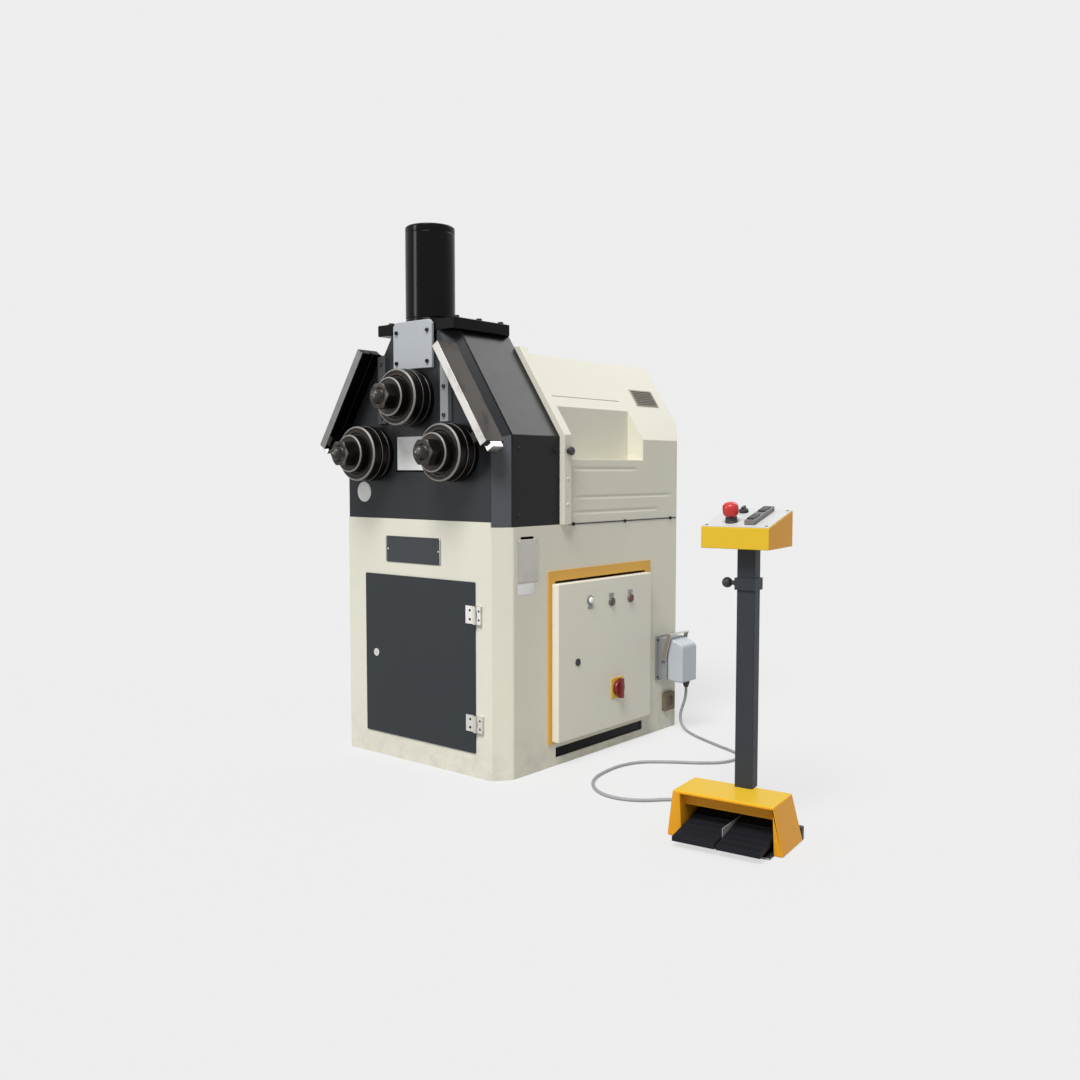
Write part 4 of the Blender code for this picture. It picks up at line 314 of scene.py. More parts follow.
# Shader boards
class Signal:
    # a socket that does arithmetic: each operation adds one Math node to its board
    def __init__(self, board, socket):
        self.board = board
        self.socket = socket

    def __add__(self, other):
        return self.board.sum("ADD", self, other)

    def __sub__(self, other):
        return self.board.sum("SUBTRACT", self, other)

    def __rsub__(self, other):
        return self.board.sum("SUBTRACT", other, self)

    def __mul__(self, other):
        return self.board.sum("MULTIPLY", self, other)

    def __truediv__(self, other):
        return self.board.sum("DIVIDE", self, other)

    def __pow__(self, other):
        return self.board.sum("POWER", self, other)

    def __gt__(self, other):
        return self.board.sum("GREATER_THAN", self, other)

    def __lt__(self, other):
        return self.board.sum("LESS_THAN", self, other)

    __radd__ = __add__
    __rmul__ = __mul__


class Board:
    def __init__(self, name, **constants):
        self.material = bpy.data.materials.new(name)
        self.material.use_nodes = True
        self.tree = self.material.node_tree
        self.shader = self.tree.nodes["Principled BSDF"]
        self.set(**constants)

    def plug(self, socket, value):
        if isinstance(value, Signal):
            self.tree.links.new(value.socket, socket)
        elif socket.type == "RGBA":
            socket.default_value = (*value, 1)
        else:
            socket.default_value = value

    def set(self, **values):
        # keys are the shader's socket names without their spaces
        sockets = {s.name.replace(" ", ""): s for s in self.shader.inputs}
        for key, value in values.items():
            self.plug(sockets[key], value)

    def add(self, kind, settings=None, inputs=None, output=0):
        node = self.tree.nodes.new("ShaderNode" + kind)
        for key, value in (settings or {}).items():
            if key == "stops":
                ramp = node.color_ramp.elements
                while len(ramp) < len(value):
                    ramp.new(0.5)
                for element, (position, shade) in zip(ramp, value):
                    element.position = position
                    element.color = (shade, shade, shade, 1) if isinstance(shade, float) else (*shade, 1)
            else:
                setattr(node, key, value)
        for key, value in (inputs or {}).items():
            self.plug(node.inputs[key], value)
        return Signal(self, node.outputs[output]) if len(node.outputs) else node

    def sum(self, operation, a, b=0.0, clamp=False):
        return self.add("Math", {"operation": operation, "use_clamp": clamp}, {0: a, 1: b})

    def place(self):
        return self.add("TexCoord", output="Object")

    def axis(self, name):
        return self.add("SeparateXYZ", inputs={0: self.place()}, output=name)

    def noise(self, scale, detail=2.0, rough=0.5, where=None):
        inputs = {"Vector": where or self.place(), "Scale": scale, "Detail": detail, "Roughness": rough}
        return self.add("TexNoise", {"noise_dimensions": "3D"}, inputs)

    def lines(self, signal, scale, detail=2.0):
        return self.add("TexNoise", {"noise_dimensions": "1D"}, {"W": signal, "Scale": scale, "Detail": detail})

    def ramp(self, signal, low, high):
        # 0 below low and 1 above high, smooth between
        inputs = {"Value": signal, "From Min": low, "From Max": high}
        return self.add("MapRange", {"interpolation_type": "SMOOTHSTEP"}, inputs)

    def blend(self, share, first, second):
        return self.add("Mix", {"data_type": "RGBA"}, {0: share, 6: first, 7: second}, 2)

    def bump(self, height, depth, strength=1.0):
        self.set(Normal=self.add("Bump", {}, {"Height": height, "Distance": depth, "Strength": strength}))


def shade(colour, factor):
    return tuple(min(1.0, c * factor) for c in colour)


def paint(name, colour, rough=0.42, peel=0.00012, dust=0.0, coat=0.0, sheen=0.5):
    # sprayed paint: faint clouding, orange peel, dust that gathers low down
    board = Board(name, CoatWeight=coat, CoatRoughness=0.08, SpecularIORLevel=sheen)
    cloud = board.noise(2.6, 3.0)
    speckle = board.noise(55.0, 4.0, 0.6)
    tint = board.blend(cloud * 0.7 + speckle * 0.3, shade(colour, 0.93), shade(colour, 1.06))
    if dust:
        low = board.ramp(board.axis("Z"), 0.16, 0.0) * board.ramp(board.noise(18.0, 5.0, 0.7), 0.35, 0.75)
        tint = board.blend(low * dust, tint, shade((0.42, 0.4, 0.36), 0.8))
    board.set(BaseColor=tint, Roughness=rough - 0.06 + 0.14 * board.noise(21.0, 5.0, 0.65))
    board.bump(board.noise(330.0, 2.0), peel)
    return board.material


def plastic(name, colour, rough=0.4, grain=0.00005, sheen=0.5):
    # moulded plastic with a fine spark-eroded grain
    board = Board(name, SpecularIORLevel=sheen)
    tint = board.blend(board.noise(9.0, 3.0), shade(colour, 0.9), shade(colour, 1.1))
    board.set(BaseColor=tint, Roughness=rough - 0.05 + 0.12 * board.noise(60.0, 4.0))
    board.bump(board.noise(1900.0, 2.0), grain)
    return board.material


def groundMetal(name, colour, rough=0.28, way="Z", dull=0.35):
    # ground or brushed bar: fine lines along one axis and a few dull patches
    board = Board(name, Metallic=1.0)
    squash = {"X": (0.05, 1, 1), "Y": (1, 0.05, 1), "Z": (1, 1, 0.05)}[way]
    stretched = board.add("Mapping", {}, {"Vector": board.place(), "Scale": squash})
    scratch = board.noise(900.0, 3.0, 0.6, stretched)
    patch = board.ramp(board.noise(14.0, 5.0, 0.65), 0.45, 0.75)
    tint = board.blend(patch * dull, colour, shade(colour, 0.55))
    board.set(BaseColor=tint, Roughness=rough + 0.16 * scratch + 0.12 * patch)
    board.bump(scratch, 0.00003)
    return board.material


def turnedMetal(name, colour, polished, centre, rough=0.34, oil=0.4):
    # lathe-turned steel about an axis along Y: rings on the faces, fine grooves along the sides, polished where "bright" says
    board = Board(name, Metallic=1.0)
    away = board.add("VectorMath", {"operation": "SUBTRACT"}, {0: board.place(), 1: centre})
    flat = board.add("VectorMath", {"operation": "MULTIPLY"}, {0: away, 1: (1, 0, 1)})
    radius = board.add("VectorMath", {"operation": "LENGTH"}, {0: flat}, "Value")
    grooves = board.lines(radius, 1500.0) + board.lines(board.axis("Y"), 1500.0)
    bands = board.ramp(board.lines(radius, 130.0, 1.0), 0.35, 0.65)
    film = board.ramp(board.noise(24.0, 5.0, 0.6), 0.4, 0.7)
    edge = board.add("Attribute", {"attribute_name": "bright"}, output="Fac")
    dark = board.blend(bands * 0.35 + film * oil, colour, shade(colour, 0.45))
    share = board.ramp(edge + 0.25 * film - 0.12, 0.05, 0.9)
    board.set(BaseColor=board.blend(share, dark, polished), Roughness=rough + 0.1 * grooves + 0.16 * share)
    board.bump(grooves, 0.00004)
    return board.material


# Colours are taken as the paint itself would measure, apart from the darker and lighter copies below that hold painted
# shade and a painted reflection
creamPaint = paint("creamPaint", (0.75, 0.73, 0.615), 0.42, dust=0.35, sheen=0.3)
hoodCream = paint("hoodCream", (0.745, 0.725, 0.615), 0.4, sheen=0.15)
headPaint = paint("headPaint", (0.021, 0.024, 0.027), 0.36, sheen=0.16)
# lighter copy of the head paint for the head's corner facet: a painted reflection of its gloss
facetPaintedReflection = paint("facetPaintedReflection", (0.084, 0.09, 0.1), 0.36, sheen=0.16)
stripPaint = paint("stripPaint", (0.29, 0.31, 0.315), 0.38, sheen=0.25)
# darker copy of the strip paint: on the left strip it is painted shade, on the strip screws their own dark colour
stripShade = paint("stripShade", (0.06, 0.063, 0.067), 0.38, sheen=0.16)
doorPaint = paint("doorPaint", (0.034, 0.040, 0.045), 0.42, sheen=0.12)
coverPaint = paint("coverPaint", (0.008, 0.008, 0.0083), 0.3, sheen=0.18)
capPaint = paint("capPaint", (0.005, 0.005, 0.0052), 0.28, sheen=0.08)
glossBlack = paint("glossBlack", (0.003, 0.0028, 0.0026), 0.16, peel=0.00003, sheen=0.12)
slideGrey = paint("slideGrey", (0.45, 0.475, 0.5), 0.38, sheen=0.3)
whitePaint = paint("whitePaint", (0.79, 0.77, 0.66), 0.4, sheen=0.35)
orangePaint = paint("orangePaint", (0.76, 0.42, 0.07), 0.42, sheen=0.3)
yellowPaint = paint("yellowPaint", (0.77, 0.495, 0.03), 0.36, sheen=0.14)
# darker, more orange copy of the yellow paint for the pedestal's sides, front and legs: painted shade
amberPaintedShade = paint("amberPaintedShade", (0.82, 0.37, 0.018), 0.36, sheen=0.14)
columnPaint = paint("columnPaint", (0.04, 0.046, 0.054), 0.42, sheen=0.12)
castPaint = paint("castPaint", (0.06, 0.061, 0.062), 0.6, peel=0.0004, sheen=0.2)
connectorGrey = paint("connectorGrey", (0.5, 0.54, 0.58), 0.5, peel=0.0003)
housingGrey = paint("housingGrey", (0.29, 0.3, 0.31), 0.55, peel=0.0004, sheen=0.3)
socketBrown = paint("socketBrown", (0.2, 0.165, 0.115), 0.6, peel=0.0004, sheen=0.2)
labelFilm = plastic("labelFilm", (0.87, 0.87, 0.86), 0.35)
plateGrey = paint("plateGrey", (0.05, 0.055, 0.062), 0.35, sheen=0.15)
plateRim = groundMetal("plateRim", (0.3, 0.3, 0.3), 0.35, "X")
dataMetal = groundMetal("dataMetal", (0.5, 0.49, 0.45), 0.38, "Y", 0.15)
brightSteel = groundMetal("brightSteel", (0.72, 0.71, 0.68), 0.24, "Z", 0.3)
hingeSteel = groundMetal("hingeSteel", (0.6, 0.59, 0.55), 0.34, "Z", 0.4)
innerSteel = groundMetal("innerSteel", (0.42, 0.41, 0.4), 0.36, "Y", 0.5)
boltBlack = groundMetal("boltBlack", (0.03, 0.03, 0.031), 0.42, "Z", 0.5)
railDark = groundMetal("railDark", (0.021, 0.017, 0.015), 0.34, "Z", 0.4)
# front faces of the rails: the left one is a darker copy of the same ground steel, painted shade
railFace = {"right": groundMetal("rightRailFace", (0.4, 0.39, 0.37), 0.42, "Z", 0.35),
    "left": groundMetal("leftRailFace", (0.17, 0.165, 0.16), 0.42, "Z", 0.35)}
ventGrey = paint("ventGrey", (0.4, 0.38, 0.335), 0.45, sheen=0.2)
blackPlastic = plastic("blackPlastic", (0.022, 0.022, 0.025), 0.45)
pedalRubber = plastic("pedalRubber", (0.012, 0.013, 0.017), 0.6, 0.00015, sheen=0.12)
redPlastic = plastic("redPlastic", (0.58, 0.022, 0.02), 0.3)
darkRed = plastic("darkRed", (0.14, 0.017, 0.016), 0.3)
switchRed = plastic("switchRed", (0.17, 0.01, 0.008), 0.35)
olivePlastic = plastic("olivePlastic", (0.062, 0.05, 0.034), 0.35)
bezelGrey = plastic("bezelGrey", (0.15, 0.145, 0.135), 0.3)
ochrePlastic = plastic("ochrePlastic", (0.72, 0.45, 0.05), 0.4)
panelGrey = plastic("panelGrey", (0.62, 0.63, 0.62), 0.42)
blockGrey = plastic("blockGrey", (0.16, 0.15, 0.145), 0.5)
lensWhite = plastic("lensWhite", (0.85, 0.88, 0.86), 0.15, 0.00001)
moduleGrey = plastic("moduleGrey", (0.33, 0.34, 0.34), 0.5)


def cableSheath():
    # ribbed grey sheath: ribs wind round with the UV map's length and angle
    board = Board("cableSheath")
    where = board.add("UVMap", {"uv_map": "lay"})
    u = board.add("SeparateXYZ", inputs={0: where}, output="X")
    v = board.add("SeparateXYZ", inputs={0: where}, output="Y")
    rib = board.sum("ABSOLUTE", board.sum("SINE", (u * 420.0 + v) * math.pi))
    grime = board.noise(30.0, 4.0)
    tint = board.blend(rib * 0.6 + grime * 0.4, (0.2, 0.205, 0.21), (0.42, 0.43, 0.44))
    board.set(BaseColor=tint, Roughness=0.42 + 0.15 * grime, Metallic=0.15)
    board.bump(rib, 0.0004)
    return board.material


cableGrey = cableSheath()
print("finishes made")

# Cable
cable = {"radius": 0.005, "length": 1.79, "step": 0.0125, "sides": 20}
floorLine = cable["radius"] + gap
pedestal = Matrix.Translation((1.116, -0.465, 0)) @ Matrix.Rotation(math.radians(7), 4, "Z")
reliefEnd = [pedestal @ Vector((-0.062, y, 0.032)) for y in (0.101772, 0.086772)]
cableRoute = [
    (0.442, 0.388, 0.1597), (0.442, 0.388, 0.142), (0.4375, 0.388, 0.115), (0.428, 0.387, 0.086),
    (0.4215, 0.3855, 0.060), (0.4245, 0.3835, 0.0345), (0.4415, 0.3785, 0.0145), (0.4715, 0.3645, 0.0059),
    (0.5285, 0.3285, floorLine), (0.643, 0.272, floorLine), (0.705, 0.245, floorLine), (0.752, 0.212, floorLine),
    (0.769, 0.165, floorLine), (0.752, 0.103, floorLine), (0.697, 0.050, floorLine), (0.621, 0.001, floorLine),
    (0.556, -0.056, floorLine), (0.529, -0.128, floorLine), (0.530, -0.208, floorLine), (0.546, -0.284, floorLine),
    (0.580, -0.344, floorLine), (0.627, -0.386, floorLine), (0.678, -0.404, floorLine), (0.730, -0.400, floorLine),
    (0.779, -0.373, floorLine), (0.824, -0.326, floorLine), (0.880, -0.286, floorLine), (0.950, -0.272, 0.007),
    (1.0035, -0.2865, 0.014), (1.0335, -0.3235, 0.026), *[tuple(p) for p in reliefEnd],
]  # fmt: skip


def smoothRoute(route, step):
    # Catmull-Rom curve through the route's points, never lower than the floor allows
    p = np.array(route, float)
    p = np.vstack([2 * p[0] - p[1], p, 2 * p[-1] - p[-2]])
    spans = []
    for a, b, c, d in zip(p, p[1:], p[2:], p[3:]):
        t = np.arange(max(1, round(np.linalg.norm(c - b) / step)))[:, None]
        t = t / len(t)
        spans.append((2 * b + (c - a) * t + (2 * a - 5 * b + 4 * c - d) * t**2 + (3 * b - 3 * c + d - a) * t**3) / 2)
    line = np.vstack([*spans, p[-2][None]])
    line[1:-1, 2] = np.maximum(line[1:-1, 2], floorLine)
    return line


def tubeRings(line, radius, sides):
    # circles square to the line; the frame of each is carried on from the one before by projection
    tangent = np.gradient(line, axis=0)
    tangent /= np.linalg.norm(tangent, axis=1, keepdims=True)
    normal = np.zeros_like(line)
    normal[0] = np.cross(tangent[0], (0.3, 1, 0.2))
    for i in range(1, len(line)):
        normal[i] = normal[i - 1] - tangent[i] * (normal[i - 1] @ tangent[i])
        normal[i] /= np.linalg.norm(normal[i])
    normal[0] /= np.linalg.norm(normal[0])
    side = np.cross(tangent, normal)
    angle = np.arange(sides) / sides * tau
    circle = np.cos(angle)[None, :, None] * normal[:, None] + np.sin(angle)[None, :, None] * side[:, None]
    return line[:, None] + radius * circle


def layCable():
    line = smoothRoute(cableRoute, cable["step"])
    along = np.r_[0, np.cumsum(np.linalg.norm(np.diff(line, axis=0), axis=1))]
    rings = tubeRings(line, cable["radius"], cable["sides"])
    mesh = lofted("cable", rings, uv=(along, 2.0))
    obj = show("cable", mesh, "machine", cableGrey, ("control_cable",))
    return obj, line


cableTube, cableLine = layCable()
softCopy("connector_plug", "connectorHood", 0.0012, [connectorGrey, blackPlastic], [(1, (0.4, 0.3, 0.15), (0.47, 0.45, 0.1838))])
print("cable laid")


# Small screws that many pieces share
def screwRings(head, height, socket, sides=24):
    # cap screw: a turned head with a six-sided hole sunk in its top
    angle = np.arange(sides) / sides * tau
    hexagon = socket * math.cos(tau / 12) / np.cos(angle % (tau / 6) - tau / 12)
    plain = np.ones(sides)
    rows = [(head * plain, 0), (head * plain, height * 0.86), (head * 0.94 * plain, height), (hexagon, height),
        (hexagon, height * 0.45)]
    return np.array([np.c_[r * np.cos(angle), r * np.sin(angle), np.full(sides, h)] for r, h in rows])


def placings(points, direction, spin=0.0):
    turn = Vector(direction).to_track_quat("Z", "Y").to_matrix().to_4x4() @ Matrix.Rotation(spin, 4, "Z")
    return [Matrix.Translation(p) @ turn for p in points]


def screws(name, points, direction, head, height, body, finish):
    mesh = joinedCopies(name, screwRings(head, height, head * 0.52), placings(points, direction))
    return show(name, mesh, body, finish)


def domedScrews(name, points, direction, head, height, body, finish):
    # low dome: radius follows a quarter ellipse
    a = np.linspace(0, 0.96 * tau / 4, 5)
    profile = np.c_[head * np.cos(a), height * np.sin(a)]
    rings = turnedRings(np.vstack([[head, -0.0002], profile]), (0, 0, 0), (0, 0, 1), 20)
    return show(name, joinedCopies(name, rings, placings(points, direction)), body, finish)


# Cabinet and its front door
cabinet = {"side": 0.36, "front": -0.5, "top": 0.757, "edge": 0.0016}


rear = {"face": 0.5003, "sheet": 0.0015, "panel": (-0.26, 0.26, 0.11, 0.66), "hatch": (-0.19, 0.19, 0.83, 1.11)}


def dressRear():
    # plain sheets screwed to the back, the lower one with two columns of louvres
    face, front = rear["face"], rear["face"] + rear["sheet"]
    for name in ("panel", "hatch"):
        x0, x1, z0, z1 = rear[name]
        plate(f"rear{name.title()}", rear[name], (face, front), "Y", 0.006, 0.0006, "machine", creamPaint)
        middle = [(z0 + z1) / 2] if name == "panel" else []
        points = [(x, front, z) for x in (x0 + 0.016, x1 - 0.016) for z in (z0 + 0.016, *middle, z1 - 0.016)]
        domedScrews(f"rear{name.title()}Screws", points, (0, 1, 0), 0.0055, 0.0022, "machine", hingeSteel)
    louvre = softened([(-0.0002, 0), (0.0042, 0.0015), (0.0046, 0.0035), (-0.0002, 0.0125)], 0.0006, 3, True)
    rings = np.stack([np.c_[np.full(len(louvre), x), louvre[:, 0], louvre[:, 1]] for x in (-0.06, 0.06)])
    places = [Matrix.Translation((x, front, z)) for x in (-0.09, 0.09) for z in np.linspace(0.42, 0.58, 8)]
    show("rearLouvres", joinedCopies("rearLouvres", rings, places), "machine", creamPaint)


def dressCabinet():
    socketZone = (0.3605, 0.35, 0.06), (0.39, 0.43, 0.14)
    softCopy("base_cabinet", "cabinetShell", cabinet["edge"], [creamPaint, socketBrown], [(1, *socketZone)])
    rivets = [(0.3621, y, z) for y in (-0.420, -0.338) for z in (0.596, 0.713)]
    plate("dataPlate", (0.591, 0.718, -0.425, -0.333), (0.3603, 0.3618), "X", 0.004, 0.0005, "machine", dataMetal,
        ("data_plate",))
    domedScrews("dataRivets", rivets, (1, 0, 0), 0.0022, 0.001, "machine", dataMetal)
    plate("sideLabel", (0.553, 0.586, -0.425, -0.352), (0.3603, 0.3608), "X", 0.003, 0.0002, "machine", labelFilm)
    front = cabinet["front"] - gap
    rings = outlineRings(roundedRectangle(-0.135, 0.113, 0.634, 0.717, 0.006),
        [(0, front), (0, front - 0.0016), (0.0006, front - 0.002), (0.0045, front - 0.002), (0.0052, front - 0.0012)], "Y")
    mesh = lofted("namePlate", rings)
    obj = show("namePlate", mesh, "machine", [plateRim, plateGrey], ("name_plate",))
    centre = np.zeros(len(mesh.polygons) * 3)
    mesh.polygons.foreach_get("center", centre)
    flat = (np.abs(centre.reshape(-1, 3)[:, 0] + 0.011) < 0.02) & (centre.reshape(-1, 3)[:, 1] < front - 0.001)
    obj.data.polygons.foreach_set("material_index", flat.astype(np.int32))
    plate("slotShade", (0.018, 0.064, -0.262, 0.249), (0.3535, 0.3556), "X", 0.002, 0.0004, "machine", capPaint)
    screwsAt = [(x, front - 0.0012, 0.6755) for x in (-0.124, 0.102)]
    domedScrews("nameScrews", screwsAt, (0, -1, 0), 0.003, 0.0016, "machine", hingeSteel)


frontDoor = {"leaf": (0.219, 0.2605), "sheet": -0.5033, "lock": (-0.18, 0.335)}


def dressFrontDoor():
    leaves = [(1, (0.216, -0.52, z0), (0.272, -0.50335, z1)) for z0, z1 in ((0.466, 0.522), (0.139, 0.191))]
    softCopy("front_door", "doorSheet", 0.0009, [doorPaint, hingeSteel], leaves)
    softCopy("front_door_lock", "doorLock", 0.0005, [hingeSteel])
    for node, z0, z1, reach in (("hinge_upper", 0.467, 0.521, 0.281), ("hinge_lower", 0.14, 0.19, 0.287)):
        softCopy(node, node + "Leaf", 0.0006, [hingeSteel])
        third = (z1 - z0) / 4
        leafScrews = [(0.2385, -0.5058, z) for z in (z0 + third, z1 - third)]
        domedScrews(node + "DoorScrews", leafScrews, (0, -1, 0), 0.0042, 0.0016, "front_door", boltBlack)
        low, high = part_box(node)
        fixed = [((high.x + 0.2713) / 2, -0.5088, z) for z in (z0 + third, z1 - third)]
        domedScrews(node + "FrameScrews", fixed, (0, -1, 0), 0.0036, 0.0016, "machine", boltBlack)


dressCabinet()
dressRear()
dressFrontDoor()
print("cabinet dressed")

# Electrical box in the right side
tray = {
    "front": -0.270, "rear": 0.241, "bottom": 0.079, "top": 0.575,
    "inside": 0.3655, "face": 0.390, "sheet": 0.002, "fold": 0.0045,
    "lamp": (-0.109, 0.512), "buttons": {"left": (0.006, 0.497), "right": (0.113, 0.499)},
    "switch": (0.04, 0.207), "lock": (-0.173, 0.321),
}  # fmt: skip


def dressTray():
    softCopy("electrical_box", "boxFrame", 0.0008, [orangePaint, hingeSteel], [(1, (0.3655, 0.2405, 0.07), (0.39, 0.26, 0.6))])
    t = tray
    outline = roundedRectangle(t["bottom"], t["top"], t["front"], t["rear"], t["fold"])
    wall = t["sheet"]
    stations = [(wall, t["face"] - wall), (wall, t["inside"]), (0, t["inside"])]
    stations += edgeStations(t["inside"] + 0.001, t["face"], 0.0035, 5)
    mesh = lofted("trayDoor", outlineRings(outline, stations, "X"))
    show("trayDoor", mesh, "electrical_door", whitePaint, ("electrical_door",))
    # hinge barrels on the tray's rear edge
    axis = (0.37775, 0.2458)
    barrels = [((axis[0], axis[1], z), (axis[0], axis[1], z + 0.0154)) for z in (0.1273, 0.5113)]
    rings = turnedRings([(0.0001, 0), (0.0042, 0), (0.0045, 0.0004), (0.0045, 0.015), (0.0042, 0.0154),
        (0.0001, 0.0154)], (0, 0, 0), (0, 0, 1), 24)
    mesh = joinedCopies("trayBarrels", rings, [Matrix.Translation(low) for low, high in barrels])
    show("trayBarrels", mesh, "electrical_door", whitePaint)
    leaf = [boxRings((0.3767, 0.2400, low[2]), (0.3788, 0.2440, low[2] + 0.0154)) for low, high in barrels]
    for i, rings in enumerate(leaf):
        show(f"trayLeaf{i}", lofted(f"trayLeaf{i}", rings), "electrical_door", whitePaint)


def fitTray():
    face = tray["face"]
    out = (1, 0, 0)
    lens = [(0, 0.0112, 0), (0.004, 0.0109, 0), (0.0075, 0.0095, 0), (0.0102, 0.0068, 0), (0.0112, 0.003, 0), (0.0112, 0, 0)]
    show("lampLens", turned("lampLens", lens, (face, *tray["lamp"]), out, 0.002, 48), "electrical_door", lensWhite)
    ring = [(0.0114, 0, 0), (0.0114, 0.0036, 0.5), (0.0125, 0.0046, 1), (0.0148, 0.0034, 1), (0.0152, 0, 0.3)]
    show("lampBezel", turned("lampBezel", ring, (face, *tray["lamp"]), out, 0.0005, 48, True), "electrical_door",
        bezelGrey)
    for name, place in tray["buttons"].items():
        collar = [(0.0112, 0.0007, 0), (0.0112, 0.0064, 0), (0.0122, 0.0073, 1), (0.0142, 0.0066, 1),
            (0.0152, 0.0012, 0), (0.0152, 0, 0)]
        show(f"{name}Bezel", turned(f"{name}Bezel", collar, (face, *place), out, 0.0006, 48, True), "electrical_door",
            bezelGrey)
        cap = [(0, 0.0082, 0), (0.006, 0.0086, 0), (0.0096, 0.009, 0), (0.0105, 0.0076, 0), (0.0105, 0.0046, 0),
            (0.004, 0.0044, 0), (0.004, -0.004, 0), (0, -0.004, 0)]
        finish = darkRed if name == "right" else olivePlastic
        show(f"{name}Cap", turned(f"{name}Cap", cap, (face, *place), out, 0.0008, 48), f"door_button_{name}", finish,
            (f"door_button_{name}",))
        # legend holder above each button, left bare
        y, z = place
        plate(f"{name}Legend", (z + 0.0165, z + 0.0285, y - 0.0135, y + 0.0135), (face, face + 0.0012), "X", 0.002,
            0.0004, "electrical_door", moduleGrey)
    y, z = tray["lamp"]
    plate("lampLegend", (z - 0.0285, z - 0.0165, y - 0.0135, y + 0.0135), (face, face + 0.0012), "X", 0.002, 0.0004,
        "electrical_door", moduleGrey)
    y, z = tray["switch"]
    half = 0.0343  # half the switch plate's side
    plate("switchPlate", (z - half, z + half, y - half, y + half), (face, face + 0.0031), "X", 0.006, 0.001,
        "electrical_door", ochrePlastic)
    collar = [(0.0001, 0.0006, 0), (0.0262, 0.0006, 0), (0.0262, 0.008, 0), (0.0245, 0.0122, 0), (0.021, 0.0124, 0),
        (0.0001, 0.0124, 0)]
    start = (0.3933, y, z)
    softCopy("main_switch_handle", "switchHandle", 0.0012, [switchRed])
    show("switchHub", turned("switchHub", collar, start, out, 0.0012, 64), "main_switch", switchRed)
    softCopy("electrical_door_lock", "trayLock", 0.0005, [plateGrey])


def dressSwitchgear():
    # mounting plate in bright sheet, the modules on it in grey
    softCopy("switchgear_panel", "switchgear", 0.0008, [moduleGrey, dataMetal], [(1, (0.19, -0.3, 0.0), (0.2046, 0.3, 0.6))])


dressTray()
fitTray()
dressSwitchgear()
print("electrical box dressed")

# Connector below the rear of the box
connector = {"near": 0.3603, "out": 0.4003, "front": 0.325, "rear": 0.43, "bottom": 0.19, "top": 0.335}


def dressConnector():
    softCopy("connector_housing", "socketHousing", 0.001, [housingGrey])
    softCopy("connector_lever", "lockingLever", 0.0008, [hingeSteel])
    feet = [(0.3663, y, z) for y in (0.3185, 0.4365) for z in (0.196, 0.328)]
    screws("socketScrews", feet, (1, 0, 0), 0.0035, 0.003, "machine", boltBlack)
    place, down = (0.442, 0.388, 0.184), (0, 0, -1)
    nut = [(0.0001, 0, 0), (0.0125, 0, 0), (0.0125, 0.0075, 0), (0.0118, 0.0085, 0), (0.0118, 0.0115, 0),
        (0.0102, 0.0155, 0), (0.0078, 0.0215, 0), (0.0068, 0.0242, 0), (0.0001, 0.0242, 0)]
    show("plugGland", turned("plugGland", nut, place, down, 0.0008, 48), "machine", blackPlastic)
    flats = joinedCopies("glandNut", np.array([np.c_[0.0134 * np.cos(np.arange(6) * tau / 6),
        0.0134 * np.sin(np.arange(6) * tau / 6), np.full(6, h)] for h in (0.001, 0.0072)]), placings([place], down))
    show("glandNut", flats, "machine", blackPlastic)


dressConnector()
print("connector dressed")

# Head
head = {"front": -0.4957, "slope": math.atan2(0.208, 0.32), "reach": 0.8632}


